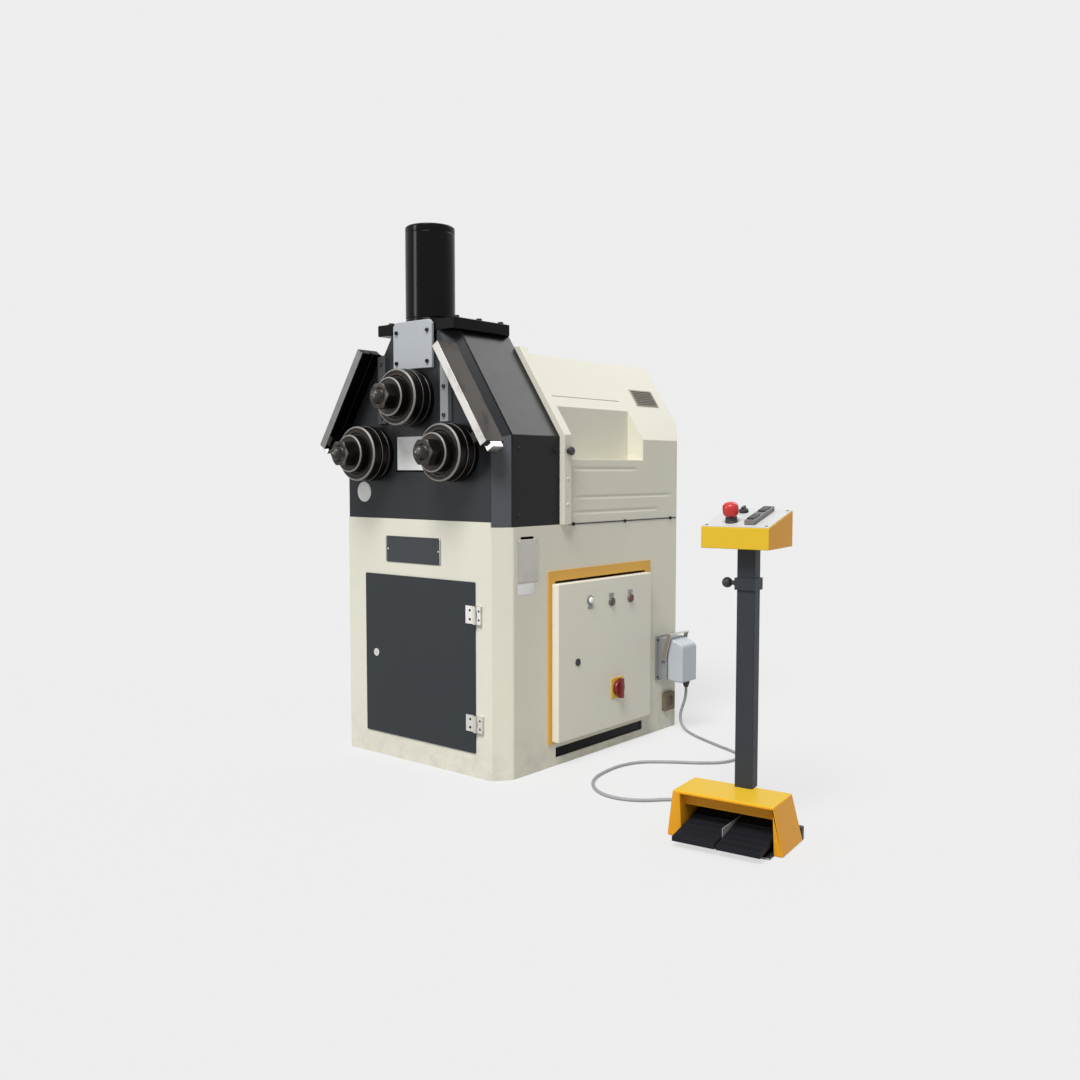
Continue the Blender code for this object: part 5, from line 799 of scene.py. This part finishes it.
def dressHead():
    # the right strip keeps the strip paint; the left strip takes its darker copy, painted shade
    tones = [(1, (0.121, -0.511, 1.071), (0.157, -0.4958, 1.285)), (2, (-0.157, -0.511, 1.071), (-0.121, -0.4958, 1.285))]
    # the corner facet takes the lighter copy of the head paint, a painted reflection
    tones.append((3, (0.318, -0.4945, 0.757), (0.3598, -0.4415, 1.05)))
    softCopy("head_frame", "headPlate", 0.0016, [headPaint, stripPaint, stripShade, facetPaintedReflection], tones)
    softCopy("head_cover", "headCover", 0.0016, [coverPaint])
    softCopy("cap_plate", "capPlate", 0.0022, [capPaint])
    softCopy("slide_cover_plate", "slideCover", 0.0012, [slideGrey])
    softCopy("top_slide", "slideBlock", 0.0012, [headPaint])
    front = head["front"]
    strip = [(x, front - 0.014, z) for x in (-0.139, 0.139) for z in (1.092, 1.178, 1.264)]
    screws("stripScrews", strip, (0, -1, 0), 0.0062, 0.005, "machine", stripShade)
    cover = [(x, front - 0.0123, z) for x, z in ((-0.068, 1.352), (0.068, 1.352), (-0.068, 1.258), (0.068, 1.258))]
    screws("coverScrews", cover, (0, -1, 0), 0.006, 0.0055, "machine", boltBlack)
    top = [(x, y, 1.385) for x in (-0.145, 0.145) for y in (-0.46, -0.36, -0.26)]
    screws("capScrews", top, (0, 0, 1), 0.009, 0.009, "machine", boltBlack)
    side = [(s * 0.36, y, z) for s in (-1, 1) for y in (-0.42, -0.25) for z in (0.79, 0.99)]
    for s, name in ((-1, "left"), (1, "right")):
        points = [(x, y, z) for x, y, z in side if x * s > 0]
        domedScrews(f"{name}SideScrews", points, (s, 0, 0), 0.006, 0.0028, "machine", boltBlack)
    # a thin apron hangs from the slide's foot and runs down in front of the plate with it
    apron = front - 0.0005
    plate("slideApron", (-0.094, 0.094, 0.9235, 1.0615), (apron, apron - 0.002), "Y", 0.003, 0.0005, "slide",
        headPaint)
    plate("headLabel", (-0.08, 0.045, 0.926, 1.03), (apron - 0.002, apron - 0.0026), "Y", 0.003, 0.0002, "slide",
        labelFilm)
    domedScrews("apronScrews", [(x, apron - 0.002, 1.0475) for x in (-0.075, 0.075)], (0, -1, 0), 0.0055, 0.0022,
        "slide", boltBlack)
    disc = [(0, 0.004, 0), (0.022, 0.004, 0), (0.024, 0.003, 0.5), (0.03, 0.003, 0.5), (0.033, 0.0012, 1),
        (0.033, 0, 0), (0, 0, 0)]
    show("headDisc", turned("headDisc", disc, (-0.242, front, 0.856), (0, -1, 0), 0.0008, 64), "machine", labelFilm)


rail = {"low": 1.009, "high": 1.306, "inset": 0.003, "width": 0.027, "cap": (-0.018, -0.0003), "capDepth": (-0.512, -0.556)}


def dressRails():
    cosine, sine = math.cos(head["slope"]), math.sin(head["slope"])
    length = (rail["high"] - rail["low"]) / cosine
    for s, name in ((-1, "left"), (1, "right")):
        # the rail's front face takes its side's entry: on the left rail the darker copy, painted shade
        softCopy(f"side_guide_rail_{name}", f"{name}Rail", 0.0014, [railDark, railFace[name]],
            [(1, (-0.4, -0.576, 0.9), (0.4, -0.5735, 1.4))])
        softCopy(f"side_guide_block_{name}", f"{name}Block", 0.0012, [railDark])
        # frame at the rail's outer low corner: x across the slope to the right, z up along it
        across, up = Vector((cosine, 0, s * sine)), Vector((-s * sine, 0, cosine))
        corner = Vector((s * (head["reach"] - rail["inset"] - rail["low"] * sine) / cosine, 0, rail["low"]))
        spot = Matrix.Translation(corner) @ Matrix((across, (0, 1, 0), up)).transposed().to_4x4()
        x0, x1 = sorted((0, -s * rail["width"]))
        cap = lofted(f"{name}RailCap", outlineRings(roundedRectangle(x0, x1, *rail["cap"], 0.0015),
            edgeStations(*rail["capDepth"], 0.0012), "Y"))
        cap.transform(spot)
        show(f"{name}RailCap", cap, "machine", brightSteel)
        # packing between the rail and the front plate's slanted edge
        wedge = [(-s * 0.0385, -0.4954), (-s * 0.0205, -0.4954), (-s * 0.0205, -0.4718)]
        packing = lofted(f"{name}Packing", np.array([[(x, y, z) for x, y in wedge] for z in (0.037, length - 0.003)]))
        packing.transform(spot)
        show(f"{name}Packing", packing, "machine", headPaint)


cylinder = {"place": (0, -0.427, 1.3853), "radius": 0.0775, "bore": 0.062, "height": 0.2947}


def dressCylinder():
    r, h = cylinder["radius"], cylinder["height"]
    profile = [
        (0, h - 0.003, 0.2), (0.018, h - 0.003, 0.2), (0.02, h - 0.0005, 0.5), (0.052, h - 0.0005, 0.2),
            (0.054, h - 0.004, 0), (0.06, h - 0.004, 0),
        (0.062, h, 0.6), (r - 0.004, h, 0.8), (r, h - 0.004, 1), (r, h - 0.02, 0), (r - 0.0012, h - 0.021, 0),
            (r - 0.0012, h - 0.023, 0),
        (r, h - 0.024, 0), (r, 0.012, 0), (r - 0.0015, 0.010, 0), (r - 0.0015, 0.008, 0), (r, 0.006, 0), (r, 0, 0),
        (cylinder["bore"], 0, 0), (cylinder["bore"], h - 0.02, 0), (0, h - 0.02, 0),
    ]  # fmt: skip
    mesh = turned("cylinderBarrel", profile, cylinder["place"], (0, 0, 1), 0.0012, 128)
    show("cylinderBarrel", mesh, "machine", glossBlack, ("hydraulic_cylinder",))
    ring = [(math.cos(a) * 0.037, -0.427 + math.sin(a) * 0.037, 1.6795) for a in np.arange(6) * tau / 6]
    domedScrews("cylinderScrews", [(x, y, z - 0.0006) for x, y, z in ring], (0, 0, 1), 0.004, 0.001, "machine", boltBlack)


dressHead()
dressRails()
dressCylinder()
print("head dressed")

# Rolls, their nuts and shafts: distances run from y = 0 towards the front
stacks = {
    "top": {"centre": (0.0, 1.148), "body": "top_roll", "flange": "slide", "rear": 0.295, "tail": None},
    "lower_left": {"centre": (-0.185, 0.978), "body": "lower_left_roll", "flange": "machine", "rear": 0.253, "tail": 0.2953},
    "lower_right": {"centre": (0.185, 0.978), "body": "lower_right_roll", "flange": "machine", "rear": 0.253, "tail": 0.2953},
}


def rollStack(name, stack):
    x, z = stack["centre"]
    start, ahead = (x, 0, z), (0, -1, 0)
    steel = turnedMetal(name + "RollSteel", (0.034, 0.03, 0.028), (0.25, 0.24, 0.225), (x, 0, z), 0.38)
    dark = turnedMetal(name + "FlangeSteel", (0.024, 0.022, 0.021), (0.2, 0.19, 0.18), (x, 0, z), 0.4)
    bare = turnedMetal(name + "ShaftSteel", (0.06, 0.055, 0.05), (0.5, 0.49, 0.46), (x, 0, z), 0.3)
    f = 0.496  # flange back
    flange = [(0.0355, f + 0.02, 0), (0.0808, f + 0.02, 0.1), (0.0825, f + 0.0185, 0.5), (0.085, f + 0.016, 0.4),
        (0.085, f + 0.014, 0), (0.085, f, 0)]
    if stack["tail"]:
        flange += [(0.055, f, 0), (0.055, f - 0.04, 0), (0.0355, f - 0.04, 0)]
    else:
        flange += [(0.0355, f, 0)]
    show(name + "Flange", turned(name + "Flange", flange, start, ahead, 0.0012, 96, True), stack["flange"], dark,
        (f"{name}_bearing_flange",))
    r = 0.5163  # roll back
    roll = [
        (0.0303, r + 0.093, 0), (0.0540, r + 0.093, 0.1), (0.0552, r + 0.093, 0.8), (0.0568, r + 0.093, 1),
            (0.059, r + 0.0905, 1), (0.059, r + 0.0880, 0.1),
        (0.059, r + 0.066, 0), (0.0565, r + 0.064, 0), (0.0565, r + 0.0595, 0), (0.0634, r + 0.059, 0),
            (0.0669, r + 0.063, 0.35), (0.0690, r + 0.063, 0),
        (0.074, r + 0.063, 0.0), (0.0745, r + 0.0622, 0), (0.0757, r + 0.0622, 0), (0.0762, r + 0.063, 0.0),
            (0.0808, r + 0.063, 0.1), (0.0818, r + 0.063, 0.8),
        (0.0830, r + 0.063, 1), (0.0862, r + 0.0594, 1), (0.0862, r + 0.0570, 0.15), (0.0862, r + 0.0362, 0),
            (0.0855, r + 0.0335, 0.25), (0.082, r + 0.0335, 0),
        (0.082, r + 0.0295, 0), (0.0872, r + 0.0295, 0.3), (0.088, r + 0.0287, 0.8), (0.088, r + 0.0268, 0.1),
            (0.088, r + 0.0045, 0), (0.088, r + 0.003, 0.5),
        (0.085, r, 0.3), (0.0303, r, 0),
    ]  # fmt: skip
    show(name + "Roll", turned(name + "Roll", roll, start, ahead, 0.0007, 112, True), stack["body"], steel,
        (f"{name}_roll",))
    show(name + "Nut", nutMesh(name + "Nut", start), stack["body"], steel, (f"{name}_lock_nut",))
    tip = [(0, 0.6728, 0.3), (0.0035, 0.6726, 0.3), (0.0042, 0.6716, 0), (0.0115, 0.6706, 0.1), (0.0165, 0.6664, 0.1),
        (0.0198, 0.6592, 0), (0.0216, 0.6535, 0.1)]
    thread = []
    for i in range(6):  # ridges of the thread that stand clear of the nut
        y = 0.6525 - i * 0.0015
        thread += [(0.0219, y, 0.25), (0.0206, y - 0.00075, 0)]
    body = [(0.0219, 0.6425, 0), (0.0219, 0.609, 0), (0.03, 0.609, 0), (0.03, 0.516, 0), (0.035, 0.516, 0)]
    if stack["tail"]:
        body += [(0.035, stack["tail"], 0), (0.03, stack["tail"], 0)]
        body += [(0.03, stack["rear"] + 0.002, 0.3), (0.028, stack["rear"], 0.6), (0, stack["rear"], 0)]
    else:
        body += [(0.035, stack["rear"] + 0.002, 0.3), (0.033, stack["rear"], 0.6), (0, stack["rear"], 0)]
    mesh = turned(name + "Shaft", tip + thread + body, start, ahead, 0.0004, 72)
    show(name + "Shaft", mesh, stack["body"], bare, (f"{name}_shaft",))


def nutMesh(name, start):
    # hexagon whose corners are turned off at both ends: radius is the lesser of the hexagon's and the chamfer's
    sides, corner, back, depth, bore = 96, 0.0425, 0.6096, 0.038, 0.0223
    angle = np.arange(sides) / sides * tau
    hexagon = corner * math.cos(tau / 12) / np.cos(angle % (tau / 6) - tau / 12)
    stations = [(bore, 0.0, 0), (0.0402, 0.0, 0.2), (0.0412, 0.0008, 0.8), (0.0425, 0.003, 0.2), (0.0425, depth - 0.006, 0.2)]
    stations += [(0.0405, depth - 0.0028, 0.8), (0.038, depth - 0.0006, 1), (0.0368, depth, 0.6),
        (0.0252, depth, 0.3), (0.0244, depth - 0.0008, 0.9), (bore, depth - 0.0028, 0)]
    radius = np.array([np.full(sides, r) if r <= 0.026 else np.minimum(hexagon, r) for r, a, b in stations])
    along = np.array([back + a for r, a, b in stations])[:, None] + 0 * angle
    x, y, z = start
    rings = np.stack([x + radius * np.cos(angle), y - along, z + radius * np.sin(angle)], -1)
    return lofted(name, rings, capped=False, looped=True, bright=[0.45 * b for r, a, b in stations])


for stackName, stackFacts in stacks.items():
    rollStack(stackName, stackFacts)
print("rolls turned")

# Rear hood
hood = {"grooves": ((0.93, -0.172, 0.20), (0.84, -0.172, 0.42), (0.792, -0.172, 0.33)), "depth": 0.0030,
    "width": 0.017, "sheet": 0.36}


def slopeX(z, inset=0.0):
    return (head["reach"] - inset - z * math.sin(head["slope"])) / math.cos(head["slope"])


def dressHood():
    cutters = []
    for s in (-1, 1):
        for z, y0, y1 in hood["grooves"]:
            # trough: depth follows half a wave across the width, and dies away over the last stretch of its length
            across, along = np.linspace(-1, 1, 9), np.linspace(0, 1, 25)
            fade = np.clip(np.minimum(along, 1 - along) / 0.05, 0.02, 1)[:, None]
            deep = hood["sheet"] - hood["depth"] * fade * np.cos(across * tau / 4)[None, :] ** 1.5 + 0.0002
            back = np.full((25, 2), hood["sheet"] + 0.006)
            xs = s * np.hstack([deep, back])
            zs = z + hood["width"] / 2 * np.r_[across, 1, -1] + 0 * xs
            cutters.append(lofted("trough", np.stack([xs, y0 + (y1 - y0) * along[:, None] + 0 * xs, zs], -1)))
        # seam across the slope above the recess
        a, b = slopeX(1.163, 0.0018), slopeX(1.159, 0.0018)
        c, d = slopeX(1.163, -0.01), slopeX(1.159, -0.01)
        ring = np.array([(s * a, 1.163), (s * b, 1.159), (s * d, 1.159), (s * c, 1.163)])
        cutters.append(lofted("seam", np.stack([np.c_[ring[:, 0], np.full(4, y), ring[:, 1]] for y in (-0.186, 0.21)])))
    softCopy("rear_hood", "hoodShell", 0.0016, [hoodCream], carve=cutters)
    for s, name in ((-1, "left"), (1, "right")):
        x0, x1 = sorted((s * 0.3604, s * 0.3616))
        rings = np.stack([np.array([(x0, y, z) for y,
            z in ((-0.186, 0.7545), (-0.186, 0.7585), (0.438, 0.7585), (0.438, 0.7545))]),
                np.array([(x1, y, z) for y, z in ((-0.186, 0.7545), (-0.186, 0.7585), (0.438, 0.7585), (0.438, 0.7545))])])
        show(f"{name}HoodSeam", lofted(f"{name}HoodSeam", rings), "machine", blackPlastic)
        screws(f"{name}HoodScrews", [(s * 0.3616, y, 0.7565) for y in (-0.16, 0.12, 0.40)], (s, 0, 0), 0.0055, 0.004,
            "machine", boltBlack)
    # louvred vent on the right slope
    normal = Vector((math.cos(head["slope"]), 0, math.sin(head["slope"])))
    down = Vector((normal.z, 0, -normal.x))
    middle = Vector((slopeX(1.182, -0.002), 0.3715, 1.182))
    frameTurn = Matrix((down, (0, 1, 0), normal)).transposed().to_4x4()
    spot = Matrix.Translation(middle) @ frameTurn
    half = (0.0345, 0.0705)
    ringsBase = outlineRings(roundedRectangle(-half[0], half[0], -half[1], half[1], 0.003),
        [(0, -0.001), (0, 0.0008), (0.0005, 0.0012)], "Z")
    mesh = lofted("ventBase", ringsBase)
    mesh.transform(spot)
    show("ventBase", mesh, "machine", ventGrey)
    slat = softened([(-0.0032, 0.0), (0.0008, 0.0048), (0.0022, 0.0042), (0.0006, 0.0)], 0.0005, 2, True)
    slatRings = np.stack([np.c_[slat[:, 0], np.full(len(slat), y), slat[:, 1]] for y in (-0.062, 0.062)])
    places = [spot @ Matrix.Translation((d, 0, 0.001)) for d in np.linspace(-0.027, 0.027, 8)]
    show("ventSlats", joinedCopies("ventSlats", slatRings, places), "machine", ventGrey)
    points = [(s * 0.378, y, z) for s in (-1, 1) for y in [-0.208] for z in (0.82, 0.90)]
    for s, name in ((-1, "left"), (1, "right")):
        domedScrews(f"{name}RimScrews", [p for p in points if p[0] * s > 0], (s, 0, 0), 0.005, 0.0024, "machine",
            hoodCream)
    knob = [(0, 0.0196, 0), (0.009, 0.0194, 0), (0.0128, 0.0176, 0), (0.0138, 0.0148, 0), (0.0138, 0.011, 0),
        (0.0115, 0.0085, 0), (0.0084, 0.0062, 0), (0.0084, 0, 0), (0, 0, 0)]
    show("hoodKnob", turned("hoodKnob", knob, (0.3783, -0.2082, 0.985), (1, 0, 0), 0.0012, 48), "hood_knob",
        blackPlastic, ("hood_knob",))


dressHood()
print("hood dressed")


# Pedestal, in its own frame
def onPedestal(mesh):
    mesh.transform(pedestal)
    return mesh


panelRise = (0.823 - 0.785) / 0.169
panelUp = Vector((0, -math.sin(math.atan(panelRise)), math.cos(math.atan(panelRise))))


def panelPoint(x, y, lift=0.0):
    z = 0.785 + gap + 0.002 + (y + 0.0255) * panelRise
    return Vector((x, y, z)) + panelUp * lift


def dressPedestal():
    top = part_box("pedestal_hood")[1].z
    # the foot hood's top keeps the yellow paint; its front, legs and sides take the darker orange copy, painted shade
    softCopy("pedestal_hood", "footHood", 0.001, [amberPaintedShade, yellowPaint], [(1, (0, -1, top - 0.0015), (2, 0, top + 0.001))])
    softCopy("foot_switch_base", "switchBase", 0.001, [blackPlastic, moduleGrey],
        [(1, (0.0075, -0.101, 0.0055), (0.0105, 0.039, 0.056))], turn=pedestal)
    foot = outlineRings(roundedRectangle(0.124, 0.150, 0.0735, 0.0885, 0.003), edgeStations(0.0, 0.034, 0.002), "Z")
    show("rearFoot", onPedestal(lofted("rearFoot", foot)), "machine", blackPlastic)
    softCopy("pedal_left", "leftPedal", 0.001, [pedalRubber])
    softCopy("pedal_right", "rightPedal", 0.001, [pedalRubber])
    softCopy("pedestal_column", "columnTube", 0.001, [columnPaint])
    # the console's two sides take the darker orange copy of the yellow paint, painted shade
    sides = [(1, (x0, -1, 0.5), (x1, 1, 1.0)) for x0, x1 in ((-0.2, -0.0855), (0.0855, 0.2))]
    softCopy("console_case", "consoleCase", 0.0014, [yellowPaint, amberPaintedShade], sides, turn=pedestal)
    softCopy("console_panel", "consolePlate", 0.0004, [panelGrey])
    softCopy("console_block", "rockerBlock", 0.0016, [blockGrey])
    a = np.linspace(-0.42 * tau / 2, tau / 4, 22)
    ball = [(0.0135 * math.cos(x), 0.0195 + 0.0135 * math.sin(x), 0) for x in a][::-1]
    knob = [(0, 0.033, 0)] + ball[1:] + [(0.006, 0.006, 0), (0.006, 0, 0), (0, 0, 0)]
    mesh = turned("columnKnob", knob, (-0.0243, 0.04, 0.642), (-1, 0, 0), 0.0003, 48)
    show("columnKnob", onPedestal(mesh), "column_knob", blackPlastic, ("column_knob",))
    plateScrews = [pedestal @ panelPoint(x, y, 0.0) for x in (-0.078, 0.078) for y in (-0.014, 0.132)]
    up = (pedestal.to_3x3() @ panelUp)
    domedScrews("panelScrews", plateScrews, up, 0.0035, 0.0014, "machine", boltBlack)
    relief = [(0.0001, -0.001, 0), (0.0125, -0.001, 0), (0.0125, 0.0055, 0), (0.0112, 0.0065, 0), (0.0112, 0.009, 0),
        (0.0098, 0.012, 0), (0.0078, 0.0175, 0), (0.007, 0.0201, 0), (0.0001, 0.0201, 0)]
    show("reliefGland", onPedestal(turned("reliefGland", relief, (-0.062, 0.06647, 0.032), (0, 1, 0), 0.0008, 48)),
        "machine", blackPlastic)


def dressConsole():
    start = panelPoint(-0.024, 0.015, 2 * gap)
    collar = [(0.0162, -0.0005, 0), (0.0162, 0.003, 0), (0.0148, 0.0045, 0), (0.0148, 0.0122, 0)]
    collar += [(0.0148, 0.0122, 0), (0.0085, 0.0122, 0), (0.0085, -0.0005, 0)]
    collarSet = turned("estopCollar", collar, start, panelUp, 0.0006, 48, True)
    show("estopCollar", onPedestal(collarSet), "machine", blackPlastic)
    low = 0.0165  # the head's underside above the panel
    cap = [(0, low + 0.034, 0), (0.009, low + 0.0335, 0), (0.0155, low + 0.031, 0), (0.0194, low + 0.025, 0),
        (0.0201, low + 0.017, 0), (0.0197, low + 0.007, 0), (0.0175, low + 0.0015, 0), (0.0145, low, 0),
            (0.004, low, 0), (0.004, -0.012, 0), (0, -0.012, 0)]
    show("estopHead", onPedestal(turned("estopHead", cap, start, panelUp, 0.003, 64)), "estop_button", redPlastic,
        ("estop_button",))
    start = panelPoint(-0.029, 0.108, 2 * gap)
    base = [(0, 0.009, 0), (0.0098, 0.009, 0), (0.0118, 0.0078, 0), (0.0125, 0.0, 0), (0.0065, 0, 0),
        (0.0065, -0.02, 0), (0, -0.02, 0)]
    show("selectorBase", onPedestal(turned("selectorBase", base, start, panelUp, 0.0008, 48)), "selector_knob",
        blackPlastic, ("selector_knob",))
    turn = Matrix.Translation(start) @ panelUp.to_track_quat("Z", "Y").to_matrix().to_4x4()
    grip = outlineRings(roundedRectangle(-0.0032, 0.0032, -0.0115, 0.0115, 0.0028), edgeStations(0.008, 0.0158, 0.0012), "Z")
    mesh = lofted("selectorGrip", grip)
    mesh.transform(pedestal @ turn)
    show("selectorGrip", mesh, "selector_knob", blackPlastic)
    # two rocker keys on the block
    for i, y in enumerate((0.022, 0.094)):
        spot = Matrix.Translation(panelPoint(0.032, y, 0.0126)) @ panelUp.to_track_quat("Z", "Y").to_matrix().to_4x4()
        key = outlineRings(roundedRectangle(-0.0095, 0.0095, -0.022, 0.022, 0.002), edgeStations(-0.0006, 0.0035, 0.0012), "Z")
        mesh = lofted(f"rockerKey{i}", key)
        mesh.transform(pedestal @ spot)
        show(f"rockerKey{i}", mesh, "machine", blackPlastic)


dressPedestal()
dressConsole()
print("pedestal dressed")

# What stays of the CAD nodes: inner works, each with its own finish
inner = {
    "rear_bearing_plate": castPaint, "cylinder_rod": brightSteel, "hydraulic_unit": headPaint, "gear_motor": castPaint,
    "drive_gear_left": innerSteel, "drive_gear_right": innerSteel, "drive_pinion": innerSteel,
}  # fmt: skip
for nodeName, obj in nodes.items():
    if not obj.hide_render:
        obj.data.materials.clear()
        obj.data.materials.append(inner.get(nodeName, castPaint))
        if nodeName not in inner:
            print("plain node left showing:", nodeName)


# Studio
studio = {"backdrop": 0.85, "ambient": 0.33, "floor": 0.5, "floorGlow": 0.65, "key": 3.1, "keyAzimuth": 17.5,
    "keyElevation": 55, "keySoftness": 28}


def lightPath(board):
    # 1 for the rays that see the backdrop: straight from the camera, mirrored, or through glass
    rays = [board.add("LightPath", output=name) for name in ("Is Camera Ray", "Is Glossy Ray", "Is Transmission Ray")]
    return board.sum("MAXIMUM", board.sum("MAXIMUM", rays[0], rays[1]), rays[2])


class Backdrop(Board):
    # a board on the world's own node tree
    def __init__(self, name):
        self.world = bpy.data.worlds.new(name)
        self.world.use_nodes = True
        self.tree = self.world.node_tree
        self.tree.nodes.clear()


def buildWorld():
    bpy.context.scene.view_settings.view_transform = "Standard"
    board = Backdrop("studio")
    bpy.context.scene.world = board.world
    pale = (studio["backdrop"],) * 3
    lit = board.add("Background", inputs={"Color": (1.0, 1.0, 1.0), "Strength": studio["ambient"]})
    shown = board.add("Background", inputs={"Color": pale, "Strength": 1.0})
    mixed = board.add("MixShader", inputs={0: lightPath(board), 1: lit, 2: shown})
    board.add("OutputWorld", inputs={"Surface": mixed})


def buildFloor():
    half = 60
    mesh = bpy.data.meshes.new("floor")
    mesh.from_pydata([(-half, -half, 0), (half, -half, 0), (half, half, 0), (-half, half, 0)], [], [(0, 1, 2, 3)])
    floor = bpy.data.objects.new("floor", mesh)
    bpy.context.scene.collection.objects.link(floor)
    board = Board("floorPaint", Roughness=0.9, SpecularIORLevel=0.0)
    shadeOf = studio["floor"]
    board.set(BaseColor=board.blend(board.noise(0.7, 3.0), (shadeOf * 0.99,) * 3, (shadeOf * 1.01,) * 3))
    share = studio["floorGlow"]
    lit = shadeOf * (studio["ambient"] + studio["key"] / math.pi * math.sin(math.radians(studio["keyElevation"])))
    glow = (studio["backdrop"] - (1 - share) * lit) / share  # so that the open floor matches the backdrop
    bright = board.add("Emission", inputs={"Color": (glow,) * 3, "Strength": 1.0})
    diffuse = Signal(board, board.shader.outputs[0])
    mixed = board.add("MixShader", inputs={0: lightPath(board) * share, 1: diffuse, 2: bright})
    board.plug(board.tree.nodes["Material Output"].inputs["Surface"], mixed)
    mesh.materials.append(board.material)


def lampTowards(name, kind, azimuth, elevation, distance, target=(0.2, -0.2, 0.7)):
    # azimuth turns from the machine's front towards its right side
    a, e = math.radians(azimuth), math.radians(elevation)
    way = Vector((math.sin(a) * math.cos(e), -math.cos(a) * math.cos(e), math.sin(e)))
    lamp = bpy.data.objects.new(name, bpy.data.lights.new(name, kind))
    lamp.location = Vector(target) + way * distance
    lamp.rotation_euler = way.to_track_quat("Z", "Y").to_euler()
    lamp.visible_camera = False
    bpy.context.scene.collection.objects.link(lamp)
    return lamp.data


def lightStudio():
    key = lampTowards("keyLight", "SUN", studio["keyAzimuth"], studio["keyElevation"], 6)
    key.energy, key.angle = studio["key"], math.radians(studio["keySoftness"])
    # two softboxes that only mirror-like surfaces pick up: one behind for the slopes, one narrow for the cylinder
    for name, azimuth, elevation, size, glow in (("slopeBox", 160, 37, (3.0, 2.4), 4.0),
        ("cylinderBox", -28, 8, (1.1, 3.0), 9.0)):
        box = lampTowards(name, "AREA", azimuth, elevation, 5, (0, -0.43, 1.2))
        box.shape, box.size, box.size_y = "RECTANGLE", *size
        box.energy = glow * math.pi * size[0] * size[1]
        bpy.data.objects[name].visible_diffuse = False


buildWorld()
buildFloor()
lightStudio()
print("studio set")
